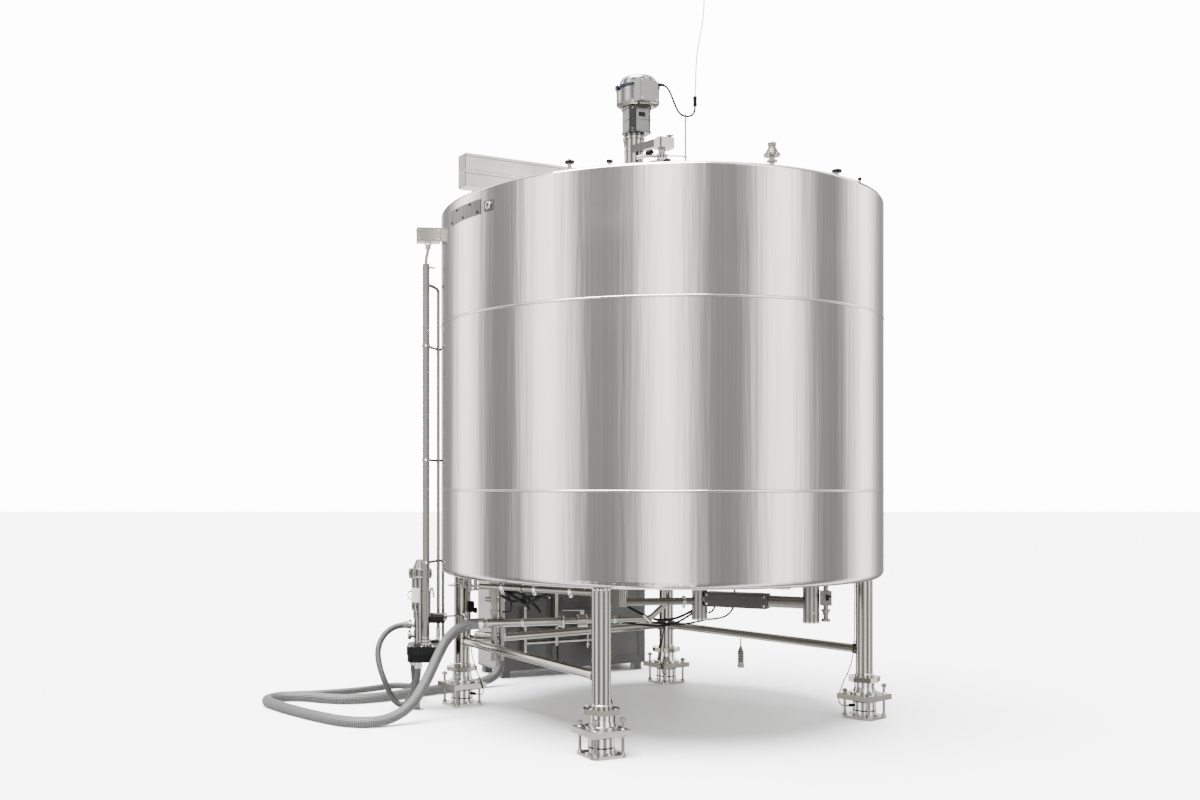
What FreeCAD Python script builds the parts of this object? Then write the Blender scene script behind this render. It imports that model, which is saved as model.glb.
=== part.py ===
import FreeCAD, Part
import math
import os
from FreeCAD import Placement, Rotation, Vector

# Bulk milk tank: a round insulated vessel on four legs with load-cell feet, an agitator on the
# roof, riser pipes and a valve at the left, transfer hoses on the floor and a service cabinet
# behind. Millimetres. The vessel's axis is Z, the floor is Z = 0 and the front is -Y.

doc = FreeCAD.newDocument("BulkMilkTank")
sheet = doc.addObject("Spreadsheet::Sheet", "Sizes")

SIZES = {
    # cladding and vessel
    "jacket_radius": 1500, "jacket_wall": 4, "jacket_base": 989, "lower_seam": 1560,
    "upper_seam": 2687, "jacket_rim": 3461, "rim_knuckle": 24, "base_knuckle": 45,
    "lip_radius": 1430, "roof_radius": 1470, "roof_rise": 140, "roof_flat": 260, "roof_wall": 4,
    "pan_wall": 4, "vessel_radius": 1400, "vessel_wall": 5, "vessel_foot": 1190,
    "vessel_head": 3370, "floor_drop": 110, "head_rise": 130, "sump_radius": 100, "outlet_x": 72,
    "cooling_wall": 9, "cooling_foot": 1260, "cooling_height": 1100,
    # manway
    "manway_x": 620, "manway_y": 420, "manway_radius": 225, "manway_wall": 4,
    "manway_top": 3690, "cover_radius": 246, "cover_wall": 5, "cover_rim": 34, "gasket_height": 8,
    "hinge_pin_radius": 6, "hinge_reach": 285,
    # legs, braces and feet
    "leg_circle": 1410, "leg_radius": 57.15, "leg_wall": 3.05, "leg_foot": 250,
    "flange_side": 192, "flange_height": 32, "flange_corner": 39, "flange_turn": 24, "leg_ring_radius": 63,
    "leg_ring_height": 17, "brace_radius": 30.15, "brace_level": 465, "collar_radius": 38,
    "collar_length": 22, "base_side": 228, "base_height": 18, "base_corner": 35,
    "cell_ring_radius": 82, "cell_ring_height": 8, "cell_radius": 77, "bearing_foot": 128,
    "bearing_side": 262, "bearing_height": 37, "rocker_radius": 97, "rocker_height": 8,
    "skirt_radius": 79, "neck_radius": 67, "stud_radius": 9, "stud_circle": 131,
    "tall_stud": 236, "short_stud": 200, "nut_radius": 20, "nut_height": 18,
    "anchor_radius": 7, "anchor_circle": 150,
    # agitator
    "shaft_x": -160, "motor_x": -132, "shaft_radius": 20, "shaft_length": 2310,
    "pedestal_foot": 3601, "pedestal_top": 3991, "pedestal_radius": 66, "pedestal_wall": 6,
    "pedestal_base_radius": 120, "pedestal_base_height": 14, "pedestal_flange_radius": 76,
    "gear_side": 170, "gear_foot": 4030, "gear_top": 4215, "gear_chamfer": 37,
    "gear_ring_radius": 55, "cap_low_radius": 148, "cap_low_foot": 4215, "cap_low_height": 118,
    "cap_taper": 20, "cap_radius": 127, "cap_top": 4424, "cap_crown": 40, "rotor_radius": 62,
    "rotor_height": 115, "terminal_width": 157, "terminal_depth": 100, "terminal_height": 150,
    "blade_length": 420, "blade_width": 130, "blade_wall": 8, "hub_radius": 42, "hub_height": 90,
    # roof fittings
    "rod_radius": 6, "rod_x": 191, "rod_y": -50, "rod_top": 4128,
    # trunking
    "duct_depth": 130, "duct_height": 127, "duct_wall": 3, "duct_length": 1200, "duct_foot": 3880,
    # left-hand pipework
    "riser_radius": 25, "riser_x": -1609, "riser_y": 80, "riser_top": 3145,
    "thin_riser_radius": 12, "thin_riser_y": 300, "thin_riser_top": 2994,
    "side_riser_radius": 11, "side_riser_top": 3430,
    "block_left": -1745, "block_right": -1502, "block_front": 28, "block_depth": 290,
    "block_foot": 350, "block_top": 461, "block_step": 9,
    "box_length": 165, "box_width": 110, "box_height": 92, "box_foot": 3292,
    "valve_x": -1655, "valve_y": 200,
    # milk outlet
    "pipe_radius": 26.5, "pipe_wall": 1.6, "narrow_pipe_radius": 20.5, "union_radius": 32,
    # hoses
    "hose_radius": 36, "transfer_radius": 23, "loop_radius": 21, "conduit_radius": 7.5,
    "cable_radius": 4,
    # service cabinet
    "cabinet_length": 1375, "cabinet_width": 460, "cabinet_height": 1180, "cabinet_foot": 60,
    "cabinet_wall": 3, "door_length": 430, "door_gap": 4, "door_wall": 22,
}
for row, (alias, value) in enumerate(SIZES.items(), start=1):
    sheet.set(f"A{row}", alias.replace("_", " "))
    sheet.set(f"B{row}", str(value))
    sheet.setAlias(f"B{row}", alias)
doc.recompute()

UP, RIGHT, BACK = Vector(0, 0, 1), Vector(1, 0, 0), Vector(0, 1, 0)
HOME = Placement()
sub_parts = []


def size(name):
    return float(SIZES[name])


def bind(item, prop, text):
    """Tie a property to the sheet; each word in text that is an alias becomes its cell."""
    words = [f"Sizes.{word}" if word in SIZES else word for word in text.split()]
    item.setExpression(prop, " ".join(words))


def place(item, base, axis=UP, frame=HOME):
    item.Placement = frame.multiply(Placement(Vector(*base), Rotation(UP, Vector(*axis))))
    return item


def cylinder(radius, height, base, axis=UP, frame=HOME):
    item = doc.addObject("Part::Cylinder", "Round")
    bind(item, "Radius", radius)
    bind(item, "Height", height)
    return place(item, base, axis, frame)


def cone(low_radius, high_radius, height, base, axis=UP, frame=HOME):
    item = doc.addObject("Part::Cone", "Taper")
    bind(item, "Radius1", low_radius)
    bind(item, "Radius2", high_radius)
    bind(item, "Height", height)
    return place(item, base, axis, frame)


def box(length, width, height, base, turn=0.0, frame=HOME):
    """A box whose base is centred on its placement, turned about Z in degrees."""
    item = doc.addObject("Part::Box", "Block")
    bind(item, "Length", length)
    bind(item, "Width", width)
    bind(item, "Height", height)
    doc.recompute([item])
    offset = Placement(Vector(-item.Length.Value / 2, -item.Width.Value / 2, 0), Rotation())
    turned = Placement(Vector(*base), Rotation(UP, turn))
    item.Placement = frame.multiply(turned).multiply(offset)
    return item


def rounded(item, radius, wanted):
    """Fillet the edges of item for which wanted(edge) is true."""
    doc.recompute([item])
    result = doc.addObject("Part::Fillet", "Rounded")
    result.Base = item
    result.Edges = [(number, size(radius), size(radius))
                    for number, edge in enumerate(item.Shape.Edges, start=1) if wanted(edge)]
    return result


def chamfered(item, reach, wanted):
    """Bevel the edges of item for which wanted(edge) is true."""
    doc.recompute([item])
    result = doc.addObject("Part::Chamfer", "Bevelled")
    result.Base = item
    result.Edges = [(number, size(reach), size(reach))
                    for number, edge in enumerate(item.Shape.Edges, start=1) if wanted(edge)]
    return result


def upright(edge):
    return len(edge.Vertexes) == 2 and abs(edge.tangentAt(edge.FirstParameter).z) > 0.999


def ring_at(level):
    return lambda edge: edge.Curve.TypeId == "Part::GeomCircle" and abs(
        edge.BoundBox.ZMin - level) < 0.01 and abs(edge.BoundBox.ZMax - level) < 0.01


def fuse(*items):
    result = doc.addObject("Part::MultiFuse", "Joined")
    result.Shapes = list(items)
    return result


def cut(base, *tools):
    result = doc.addObject("Part::Cut", "Opened")
    result.Base = base
    result.Tool = tools[0] if len(tools) == 1 else fuse(*tools)
    return result


def group(*items):
    result = doc.addObject("Part::Compound", "Set")
    result.Links = list(items)
    return result


def tube(outer, wall, height, base, axis=UP, frame=HOME):
    return cut(cylinder(outer, height, base, axis, frame),
               cylinder(f"{outer} - {wall}", height, base, axis, frame))


def node(name, item):
    item.Label = name
    sub_parts.append(item)
    return item


def route_wire(points, bend=None):
    """Straight runs joined by tangent arcs. Without a bend radius each arc takes 0.45 of its
    shorter run. Returns the wire and the arcs' radii."""
    points = [Vector(*point) for point in points]
    edges, radii, start = [], [], points[0]
    for before, corner, after in zip(points, points[1:], points[2:]):
        back, ahead = (before - corner), (after - corner)
        half_turn = (math.pi - back.getAngle(ahead)) / 2
        reach = 0.45 * min(back.Length, ahead.Length)
        radius = reach / math.tan(half_turn)
        if bend is not None:
            radius, reach = bend, bend * math.tan(half_turn)
        back.normalize()
        ahead.normalize()
        middle = (back + ahead).normalize()
        centre = corner + middle * (radius / math.cos(half_turn))
        entry, leave = corner + back * reach, corner + ahead * reach
        edges.append(Part.LineSegment(start, entry).toShape())
        edges.append(Part.Arc(entry, centre - middle * radius, leave).toShape())
        radii.append(radius)
        start = leave
    edges.append(Part.LineSegment(start, points[-1]).toShape())
    return Part.Wire(edges), radii


def swept(points, radius, bend=None):
    """A round bar along a route, checked against its section times its length."""
    wire, radii = route_wire(points, bend)
    heading = Vector(*points[1]) - Vector(*points[0])
    profile = Part.Wire([Part.Circle(Vector(*points[0]), heading, radius).toShape()])
    solid = wire.makePipeShell([profile], True, True)
    expected = math.pi * radius ** 2 * wire.Length
    if abs(solid.Volume / expected - 1) > 0.01:
        raise ValueError(f"a sweep has {solid.Volume / expected:.3f} of its expected volume")
    return solid, wire.Length, radii


def feature(shape):
    item = doc.addObject("Part::Feature", "Swept")
    item.Shape = shape
    return item


def cord(name, points, radius_name):
    solid, length, radii = swept(points, size(radius_name))
    print(f"{name}: length {length:.0f} mm, diameter {2 * size(radius_name):.0f}, radii "
          + " ".join(f"{radius:.0f}" for radius in radii))
    return node(name, feature(solid))


def polar(radius, angle, level=0.0):
    return (radius * math.cos(math.radians(angle)), radius * math.sin(math.radians(angle)), level)


# ---------------------------------------------------------------- cladding
rim, base_level = size("jacket_rim"), size("jacket_base")
lower_shell = cut(
    rounded(cylinder("jacket_radius", "lower_seam - jacket_base", (0, 0, base_level)),
            "base_knuckle", ring_at(base_level)),
    cylinder("jacket_radius - base_knuckle", "2 * jacket_wall", (0, 0, base_level - 1)),
)
SIZES["base_knuckle_inner"] = size("base_knuckle") - size("jacket_wall")
SIZES["rim_knuckle_inner"] = size("rim_knuckle") - size("jacket_wall")
lower_hollow = rounded(
    cylinder("jacket_radius - jacket_wall", "lower_seam - jacket_base",
             (0, 0, base_level + size("jacket_wall"))),
    "base_knuckle_inner", ring_at(base_level + size("jacket_wall")))
node("jacket_lower_strake", cut(lower_shell, lower_hollow))

node("jacket_middle_strake", tube("jacket_radius", "jacket_wall", "upper_seam - lower_seam",
                                  (0, 0, size("lower_seam"))))

upper_outer = rounded(cylinder("jacket_radius", "jacket_rim - upper_seam",
                               (0, 0, size("upper_seam"))), "rim_knuckle", ring_at(rim))
upper_hollow = rounded(
    cylinder("jacket_radius - jacket_wall", "jacket_rim - upper_seam",
             (0, 0, size("upper_seam") - size("jacket_wall"))),
    "rim_knuckle_inner", ring_at(rim - size("jacket_wall")))
node("jacket_upper_strake", cut(upper_outer, upper_hollow,
                                cylinder("lip_radius", "2 * jacket_wall", (0, 0, rim - 5))))

manway = (size("manway_x"), size("manway_y"))
shaft_at = (size("shaft_x"), 0)
roof_height = size("roof_rise")


def roof_level(x, y):
    """The top of the roof cone at a place."""
    share = (size("roof_radius") - math.hypot(x, y)) / (size("roof_radius") - size("roof_flat"))
    return rim + roof_height * min(1.0, share)


STUBS = {  # roof fittings: place, tube radius, cap radius, top level
    "vent": (584, -900, 16, 27, 3716),
    "left_stub": (-677, -900, 13, 30, 3607),
    "low_stub": (-427, -900, 10, 21, 3612),
    "right_stub": (1017, -800, 13, 31, 3577),
    "plug": (1161, -800, 8, 12, 3527),
}
roof_tools = [
    cone("roof_radius", "roof_flat", "roof_rise", (0, 0, rim - size("roof_wall"))),
    cylinder("manway_radius", "400", (*manway, rim - 100)),
    cylinder("shaft_radius + 24", "400", (*shaft_at, rim - 100)),
]
node("roof_cladding", cut(cone("roof_radius", "roof_flat", "roof_rise", (0, 0, rim)), *roof_tools))

node("bottom_cladding", cut(
    cylinder("jacket_radius - base_knuckle", "pan_wall", (0, 0, base_level + 0.0)),
    cylinder("sump_radius + 4", "20", (0, 0, base_level - 5))))

# ---------------------------------------------------------------- inner vessel
foot, head = size("vessel_foot"), size("vessel_head")
wall = size("vessel_wall")


def vessel_body(inset):
    """The vessel's outline as one solid, smaller by inset all round."""
    return fuse(
        cylinder(f"vessel_radius - {inset}", "vessel_head - vessel_foot", (0, 0, foot)),
        cone("sump_radius", f"vessel_radius - {inset}", "floor_drop",
             (0, 0, foot - size("floor_drop") + (wall if inset != "0" else 0))),
        cone(f"vessel_radius - {inset}", "sump_radius", "head_rise",
             (0, 0, head - (wall if inset != "0" else 0))))


node("inner_vessel", cut(
    vessel_body("0"), vessel_body("vessel_wall"),
    cylinder("manway_radius", "400", (*manway, head)),
    cylinder("shaft_radius + 24", "400", (*shaft_at, head)),
    cylinder("narrow_pipe_radius", "300", (size("outlet_x"), 0, foot - 200))))
node("cooling_jacket", cut(
    cylinder("vessel_radius + cooling_wall", "cooling_height", (0, 0, size("cooling_foot"))),
    cylinder("vessel_radius", "cooling_height", (0, 0, size("cooling_foot")))))

# ---------------------------------------------------------------- manway
neck_foot = head + 60
neck_top = size("manway_top")
node("manway_neck", cut(
    cylinder("manway_radius", "manway_top - vessel_head - 60", (*manway, neck_foot)),
    cylinder("manway_radius - manway_wall", "manway_top", (*manway, head))))
node("manway_gasket", tube("manway_radius + 6", "16", "gasket_height", (*manway, neck_top)))
cover_foot = neck_top + size("gasket_height")
cover_skirt_foot = neck_top - 20
hinge_y = manway[1] + size("hinge_reach")
hinge_level = cover_foot + 14
ear_offset = 44
cover = fuse(
    cylinder("cover_radius", "cover_wall", (*manway, cover_foot)),
    cut(cylinder("cover_radius", "cover_rim - 5", (*manway, cover_foot - 28)),
        cylinder("cover_radius - 5", "cover_rim", (*manway, cover_foot - 29)),
        box("2 * cover_radius", "100", "28.0", (manway[0], manway[1] + 215, cover_foot - 28))),
    *[box("14", "70", "24", (manway[0] + side * ear_offset, hinge_y - 35, cover_foot + 2))
      for side in (-1, 1)])
cover_handle = fuse(
    *[cylinder("7", "46", (manway[0] + side * 70, manway[1] - 120, cover_foot + 5))
      for side in (-1, 1)],
    cylinder("7", "140", (manway[0] - 70, manway[1] - 120, cover_foot + 51), RIGHT))
node("manway_cover", cut(fuse(cover, cover_handle), cylinder(
    "hinge_pin_radius + 0.05", "200", (manway[0] - 100, hinge_y, hinge_level), RIGHT)))
hinge_post = [box("12", "30", "120", (manway[0] + side * 62, hinge_y, hinge_level - 108))
              for side in (-1, 1)]
hinge_web = box("136", "62", "10", (manway[0], hinge_y - 25, hinge_level - 108))
node("manway_hinge", fuse(*hinge_post, hinge_web, cylinder(
    "hinge_pin_radius", "150", (manway[0] - 75, hinge_y, hinge_level), RIGHT)))

# ---------------------------------------------------------------- legs, braces and feet
LEG_ANGLES = {"front": -111.7, "right": -5.1, "back": 78.5, "left": 164.7}
leg_frames = {name: Placement(Vector(*polar(size("leg_circle"), angle)),
                              Rotation(UP, angle - 45))
              for name, angle in LEG_ANGLES.items()}
flange_top = size("leg_foot") + size("flange_height")
for name, frame in leg_frames.items():
    plate = chamfered(box("flange_side", "flange_side", "flange_height",
                          (0, 0, size("leg_foot")), size("flange_turn"), frame),
                      "flange_corner", upright)
    extras = [cylinder("104", "9", (0, 0, 862), UP, frame)] if name == "left" else []
    node(f"leg_{name}", cut(fuse(
        plate, *extras,
        cylinder("leg_ring_radius", "leg_ring_height", (0, 0, flange_top), UP, frame),
        cylinder("leg_radius", "jacket_base - leg_foot - flange_height", (0, 0, flange_top), UP,
                 frame)),
        cylinder("leg_radius - leg_wall", "jacket_base - leg_foot", (0, 0, flange_top + 4), UP,
                 frame)))


def brace(first, second):
    """A cross tube with end collars, coped to the two legs."""
    start, end = leg_frames[first].Base, leg_frames[second].Base
    along = end - start
    start = Vector(start.x, start.y, size("brace_level"))
    direction = Vector(along).normalize()
    reach = along.Length
    collar = size("collar_length")
    leg_edge = size("leg_radius")
    pieces = [
        cylinder("brace_radius", f"{reach - 2}", start + direction, direction),
        cylinder("collar_radius", "collar_length", start + direction * (leg_edge + 4), direction),
        cylinder("collar_radius", "collar_length",
                 start + direction * (reach - leg_edge - collar - 4), direction)]
    legs = [cylinder("leg_radius", "400", (0, 0, size("brace_level") - 200), UP, leg_frames[leg])
            for leg in (first, second)]
    return cut(fuse(*pieces), *legs)


node("leg_braces", group(brace("left", "front"), brace("back", "right"), brace("back", "left")))

cell_foot = size("base_height") + size("cell_ring_height")
bearing_top = size("bearing_foot") + size("bearing_height")
neck_level = bearing_top + size("rocker_height")
bases, cells, bearings, rockers, studs, nuts = [], [], [], [], [], []
STUD_ANGLES = {45: "tall_stud", 135: "tall_stud", 225: "short_stud", 315: "short_stud"}
for frame in leg_frames.values():
    spots = [polar(size("stud_circle"), angle) for angle in STUD_ANGLES]
    anchors = [cylinder("anchor_radius", "40", polar(size("anchor_circle") * 0.62, angle, -5),
                        UP, frame) for angle in (0, 90, 180, 270)]
    bases.append(cut(rounded(box("base_side", "base_side", "base_height", (0, 0, 0), 0, frame),
                             "base_corner", upright), *anchors))
    cells.append(fuse(
        cylinder("cell_ring_radius", "cell_ring_height", (0, 0, size("base_height")), UP, frame),
        cylinder("cell_radius", "bearing_foot - base_height - cell_ring_height",
                 (0, 0, cell_foot), UP, frame)))
    holes = [cylinder("stud_radius", "200", (x, y, size("bearing_foot") - 50), UP, frame)
             for x, y, level in spots]
    bearings.append(cut(box("bearing_side", "bearing_side", "bearing_height",
                            (0, 0, size("bearing_foot")), 0, frame), *holes))
    rockers.append(fuse(
        cylinder("rocker_radius", "rocker_height", (0, 0, bearing_top), UP, frame),
        cone("skirt_radius", "neck_radius", "40", (0, 0, neck_level), UP, frame),
        cylinder("neck_radius", f"leg_foot - {neck_level + 40}", (0, 0, neck_level + 40),
                 UP, frame)))
    for (x, y, level), stud in zip(spots, STUD_ANGLES.values()):
        studs.append(cylinder("stud_radius", f"{stud} - base_height",
                              (x, y, size("base_height")), UP, frame))
doc.recompute()
node("foot_base_plates", group(*bases))
node("load_cells", group(*cells))
node("foot_bearing_plates", group(*bearings))
node("foot_rocker_caps", group(*rockers))


def nut(base, frame=HOME):
    """A hexagon nut with a clearance hole for its stud."""
    prism = doc.addObject("Part::Prism", "Hexagon")
    prism.Polygon = 6
    bind(prism, "Circumradius", "nut_radius")
    bind(prism, "Height", "nut_height")
    place(prism, base, UP, frame)
    return prism


stud_set = []
for frame in leg_frames.values():
    for angle, stud in STUD_ANGLES.items():
        x, y, level = polar(size("stud_circle"), angle)
        top = size(stud) - size("nut_height") - 6
        stud_set.append(fuse(
            cylinder("stud_radius", f"{stud} - base_height", (x, y, size("base_height")), UP, frame),
            nut((x, y, top), frame),
            cone("17", "stud_radius", "16", (x, y, size("base_height")), UP, frame)))
for item in studs:
    doc.removeObject(item.Name)
node("foot_studs", group(*stud_set))

# ---------------------------------------------------------------- agitator
motor_axis = (size("motor_x"), 0)
pedestal_foot = size("pedestal_foot")
pedestal_low = pedestal_foot + size("pedestal_base_height")
window = [box("44", "400", "84", (shaft_at[0], 0, pedestal_low + 96), turn)
          for turn in (45, 135)]
pedestal = fuse(
    cylinder("pedestal_base_radius", "pedestal_base_height", (*shaft_at, pedestal_foot)),
    cylinder("pedestal_radius", "pedestal_top - pedestal_foot - pedestal_base_height",
             (*shaft_at, pedestal_low)),
    cylinder("pedestal_flange_radius", "17", (*shaft_at, size("pedestal_top"))))
node("agitator_pedestal", cut(
    pedestal,
    cylinder("pedestal_radius - pedestal_wall", "320", (*shaft_at, pedestal_low + 40)),
    cylinder("shaft_radius + 4", "700", (*shaft_at, pedestal_foot - 50)),
    *window))
seal_level = pedestal_low + 40
node("shaft_seal", tube("shaft_radius + 22", "21.5", "44", (*shaft_at, seal_level)))

gear_ring_foot = size("pedestal_top") + 17
gear_block = chamfered(box("gear_side", "gear_side", "gear_top - gear_foot",
                           (-142, 0, size("gear_foot")), 22), "gear_chamfer", upright)
node("agitator_gearbox", cut(
    fuse(gear_block, cylinder("gear_ring_radius", f"gear_foot - {gear_ring_foot} + 1",
                              (*shaft_at, gear_ring_foot))),
    cylinder("shaft_radius + 4", "120", (*shaft_at, gear_ring_foot - 5)),
    cylinder("rotor_radius - 40", "70", (*motor_axis, size("gear_top") - 60))))

cap_foot = size("cap_low_foot")
cap_step = cap_foot + size("cap_low_height")
cap_outer = fuse(
    cone("cap_low_radius - 37", "cap_low_radius", "cap_taper", (*motor_axis, cap_foot)),
    rounded(cylinder("cap_low_radius", "cap_low_height - cap_taper",
                     (*motor_axis, cap_foot + size("cap_taper"))), "duct_wall", ring_at(cap_step)),
    rounded(cylinder("cap_radius", "cap_top - cap_low_foot - cap_low_height",
                     (*motor_axis, cap_step)), "cap_crown", ring_at(size("cap_top"))))
cap_inner = fuse(
    cylinder("cap_low_radius - 46", "24", (*motor_axis, cap_foot + 6)),
    cylinder("cap_radius - 6", "cap_top - cap_low_foot - cap_crown - 28",
             (*motor_axis, cap_foot + 26)),
    cone("cap_radius - 6", "cap_radius - cap_crown - 4", "cap_crown - 5",
         (*motor_axis, size("cap_top") - size("cap_crown") - 2)))
node("motor_housing", cut(
    cap_outer, cap_inner, cylinder("22.3", "40", (*motor_axis, cap_foot - 5))))
terminal_turn = 30.6
terminal_solid = box("terminal_width", "terminal_depth", "terminal_height",
                     (-102, -117, cap_foot), terminal_turn)
gland_at = Vector(8, -80, 4352)
gland = fuse(cylinder("11", "60", gland_at - RIGHT * 60, RIGHT),
             cylinder("14", "9", gland_at - RIGHT * 24, RIGHT))
node("motor_terminal_box", cut(
    fuse(rounded(terminal_solid, "duct_wall", upright), gland),
    cylinder("cap_low_radius + 0.3", "cap_low_height + 0.3", (*motor_axis, cap_foot)),
    cylinder("cap_radius + 0.3", "200", (*motor_axis, cap_foot + 100))))
node("motor_rotor", fuse(
    cylinder("rotor_radius", "rotor_height", (*motor_axis, cap_foot + 50)),
    cylinder("12", "210", (*motor_axis, cap_foot - 50))))

shaft_top = size("gear_foot") + 63
shaft_foot = shaft_top - size("shaft_length")
node("agitator_shaft", cylinder("shaft_radius", "shaft_length", (*shaft_at, shaft_foot)))


def impeller(level):
    hub = tube("hub_radius", "21.9", "hub_height", (*shaft_at, level))
    blades = []
    for side in (0, 180):
        blade = box("blade_length", "blade_wall", "blade_width", (0, 0, 0))
        turn = Rotation(UP, side).multiply(Rotation(RIGHT, 35))
        blade.Placement = Placement(
            Vector(*shaft_at, level + size("hub_height") / 2), turn).multiply(
            Placement(Vector(size("hub_radius") - 8, -size("blade_wall") / 2,
                             -size("blade_width") / 2), Rotation()))
        blades.append(blade)
    return fuse(hub, *blades)


node("agitator_impellers", group(impeller(shaft_foot + 10), impeller(shaft_foot + 900)))

# ---------------------------------------------------------------- roof fittings
fittings = []
for name, (x, y, stub, cap, top) in STUBS.items():
    level = roof_level(x, y)
    fittings.append(fuse(
        cylinder(f"{stub}", f"{top - level}", (x, y, level)),
        cylinder(f"{cap}", "9", (x, y, top - 9)),
        cylinder(f"{stub + 12}", "6", (x, y, level + 1))))
vent_x, vent_y, vent_stub, vent_cap, vent_top = STUBS["vent"]
vent_discs = [cylinder("52", "15", (vent_x, vent_y, 3642)), cylinder("34", "8", (vent_x, vent_y, 3606))]
node("roof_fittings", group(fuse(fittings[0], *vent_discs), *fittings[1:]))

arm_start, arm_end, head_at = Vector(-166, -48), Vector(-26, -205), (17, -215)
arm_turn = math.degrees(math.atan2(arm_end.y - arm_start.y, arm_end.x - arm_start.x))
arm_middle = (arm_start + arm_end) * 0.5
post_at = (2, -215)
post_foot = roof_level(*post_at)
level_arm = fuse(
    box(f"{(arm_end - arm_start).Length}", "44", "52", (arm_middle.x, arm_middle.y, 3890), arm_turn),
    chamfered(box("118", "92", "70", (*head_at, 3874), 25), "block_step", upright),
    cylinder("17", f"{3874 - post_foot}", (*post_at, post_foot)),
    cylinder("24", "32", (*post_at, 3842)), cylinder("40", "14", (*post_at, 3818)),
    cylinder("30", "10", (*post_at, 3760)), cylinder("34", "6", (*post_at, post_foot)),
    cylinder("6", "20", (57, -205, 3944)), cylinder("26", "6", (57, -205, 3962)))
node("level_sensor_arm", cut(level_arm, cylinder(
    "pedestal_radius", "400", (*shaft_at, 3700))))

rod_at = (size("rod_x"), size("rod_y"))
rod_foot = roof_level(*rod_at)
rod_stay = Vector(41, -203, 3830) - Vector(*rod_at, 3868)
rod_eye = feature(Part.makeTorus(16, 4, Vector(*rod_at, size("rod_top") + 16), RIGHT))
node("cable_rod", fuse(
    cylinder("rod_radius", f"rod_top - {rod_foot}", (*rod_at, rod_foot)), rod_eye,
    cylinder("22", "8", (*rod_at, rod_foot)),
    cylinder("5", f"{rod_stay.Length}", (*rod_at, 3868), rod_stay)))

# ---------------------------------------------------------------- trunking
duct_turn = 27.7
duct_start = Vector(-1334, 850, size("duct_foot"))
duct_frame = Placement(duct_start, Rotation(UP, duct_turn))
half_length, half_depth = size("duct_length") / 2, size("duct_depth") / 2
ducts = []
for index in (0, 1):
    level = index * (size("duct_height") + 3)
    duct = cut(box("duct_length", "duct_depth", "duct_height",
                   (half_length, half_depth, level), 0, duct_frame),
               box("duct_length - 6", "duct_depth - 6", "duct_height - 6",
                   (half_length, half_depth, level + 3), 0, duct_frame))
    ducts.append(duct)
posts = []
for distance in (620, 960):
    spot = duct_frame.multVec(Vector(distance, half_depth, 0))
    level = roof_level(spot.x, spot.y)
    posts.append(fuse(cylinder("19", f"duct_foot - {level}", (spot.x, spot.y, level)),
                      box("110", "110", "6", (spot.x, spot.y, size("duct_foot") - 6), duct_turn)))
node("trunking_lower", group(ducts[0], *posts))
node("trunking_upper", ducts[1])

# ---------------------------------------------------------------- risers and junction box
block_middle_x = (size("block_left") + size("block_right")) / 2
block_middle_y = size("block_front") + size("block_depth") / 2
block_top = size("block_top")
riser_at = (size("riser_x"), size("riser_y"))
thin_at = (-1530, size("thin_riser_y"))
side_at = (-1496, size("thin_riser_y") + 4)
stand_at = (-1674, 186)
node("junction_box", cut(
    rounded(box("box_length", "box_width", "box_height", (-1590, 60, size("box_foot")), 8),
            "pan_wall", upright),
    box("box_length - 8", "box_width - 8", "box_height - 8",
        (-1590, 60, size("box_foot") + 4), 8)))
main_riser = fuse(
    tube("riser_radius", "2", f"riser_top - {block_top}", (*riser_at, block_top)),
    tube("riser_radius + 12", "13", "14", (*riser_at, block_top)))
flex, flex_length, flex_radii = swept(
    [(*riser_at, size("riser_top") - 40), (riser_at[0], riser_at[1], size("riser_top") + 40),
     (riser_at[0] + 14, 60, size("box_foot") - 60), (riser_at[0] + 14, 60, size("box_foot"))], 11)
node("box_conduit", fuse(feature(flex), cylinder("20", "46", (riser_at[0] + 14, 60,
                                                            size("box_foot") - 46))))
node("riser_pipes", group(
    main_riser, fuse(cylinder("18", "block_foot", (*stand_at, 0)),
                     cylinder("44", "8", (*stand_at, 0))),
    cylinder("thin_riser_radius", f"thin_riser_top - {block_top}", (*thin_at, block_top)),
    cylinder("side_riser_radius", f"side_riser_top - {block_top}", (*side_at, block_top))))
brackets = []
for level in (1040, 1760, 2560):
    strap = cut(
        fuse(box("30", "26", "16", (riser_at[0], riser_at[1] + 0, level)),
             cylinder("riser_radius + 6", "16", (*riser_at, level)),
             cylinder("thin_riser_radius + 6", "16", (*thin_at, level)),
             cylinder("side_riser_radius + 6", "16", (*side_at, level)),
             box("232", "10", "16", ((riser_at[0] + thin_at[0]) / 2,
                                      (riser_at[1] + thin_at[1]) / 2, level),
                 math.degrees(math.atan2(thin_at[1] - riser_at[1], thin_at[0] - riser_at[0]))),
             box("60", "10", "16", (-1508, 306, level), 6)),
        cylinder("riser_radius", "60", (*riser_at, level - 20)),
        cylinder("thin_riser_radius", "60", (*thin_at, level - 20)),
        cylinder("side_riser_radius", "60", (*side_at, level - 20)),
        cylinder("jacket_radius", "60", (0, 0, level - 20)))
    brackets.append(strap)
stay_start, stay_end = Vector(-1478, 158, 662), Vector(-1345, 318, 652)
tray = cut(
    fuse(box("150", "96", "12", (-1540, 130, 642), -6), box("150", "8", "44", (-1540, 174, 642), -6),
         cylinder("7", f"{(stay_end - stay_start).Length}", stay_start, stay_end - stay_start)),
    cylinder("riser_radius", "90", (*riser_at, 620)),
    cylinder("54", "90", (size("valve_x"), size("valve_y"), 620)),
    cylinder("leg_radius", "200", (0, 0, 600), UP, leg_frames["left"]))
node("riser_brackets", group(*brackets, tray))

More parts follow.
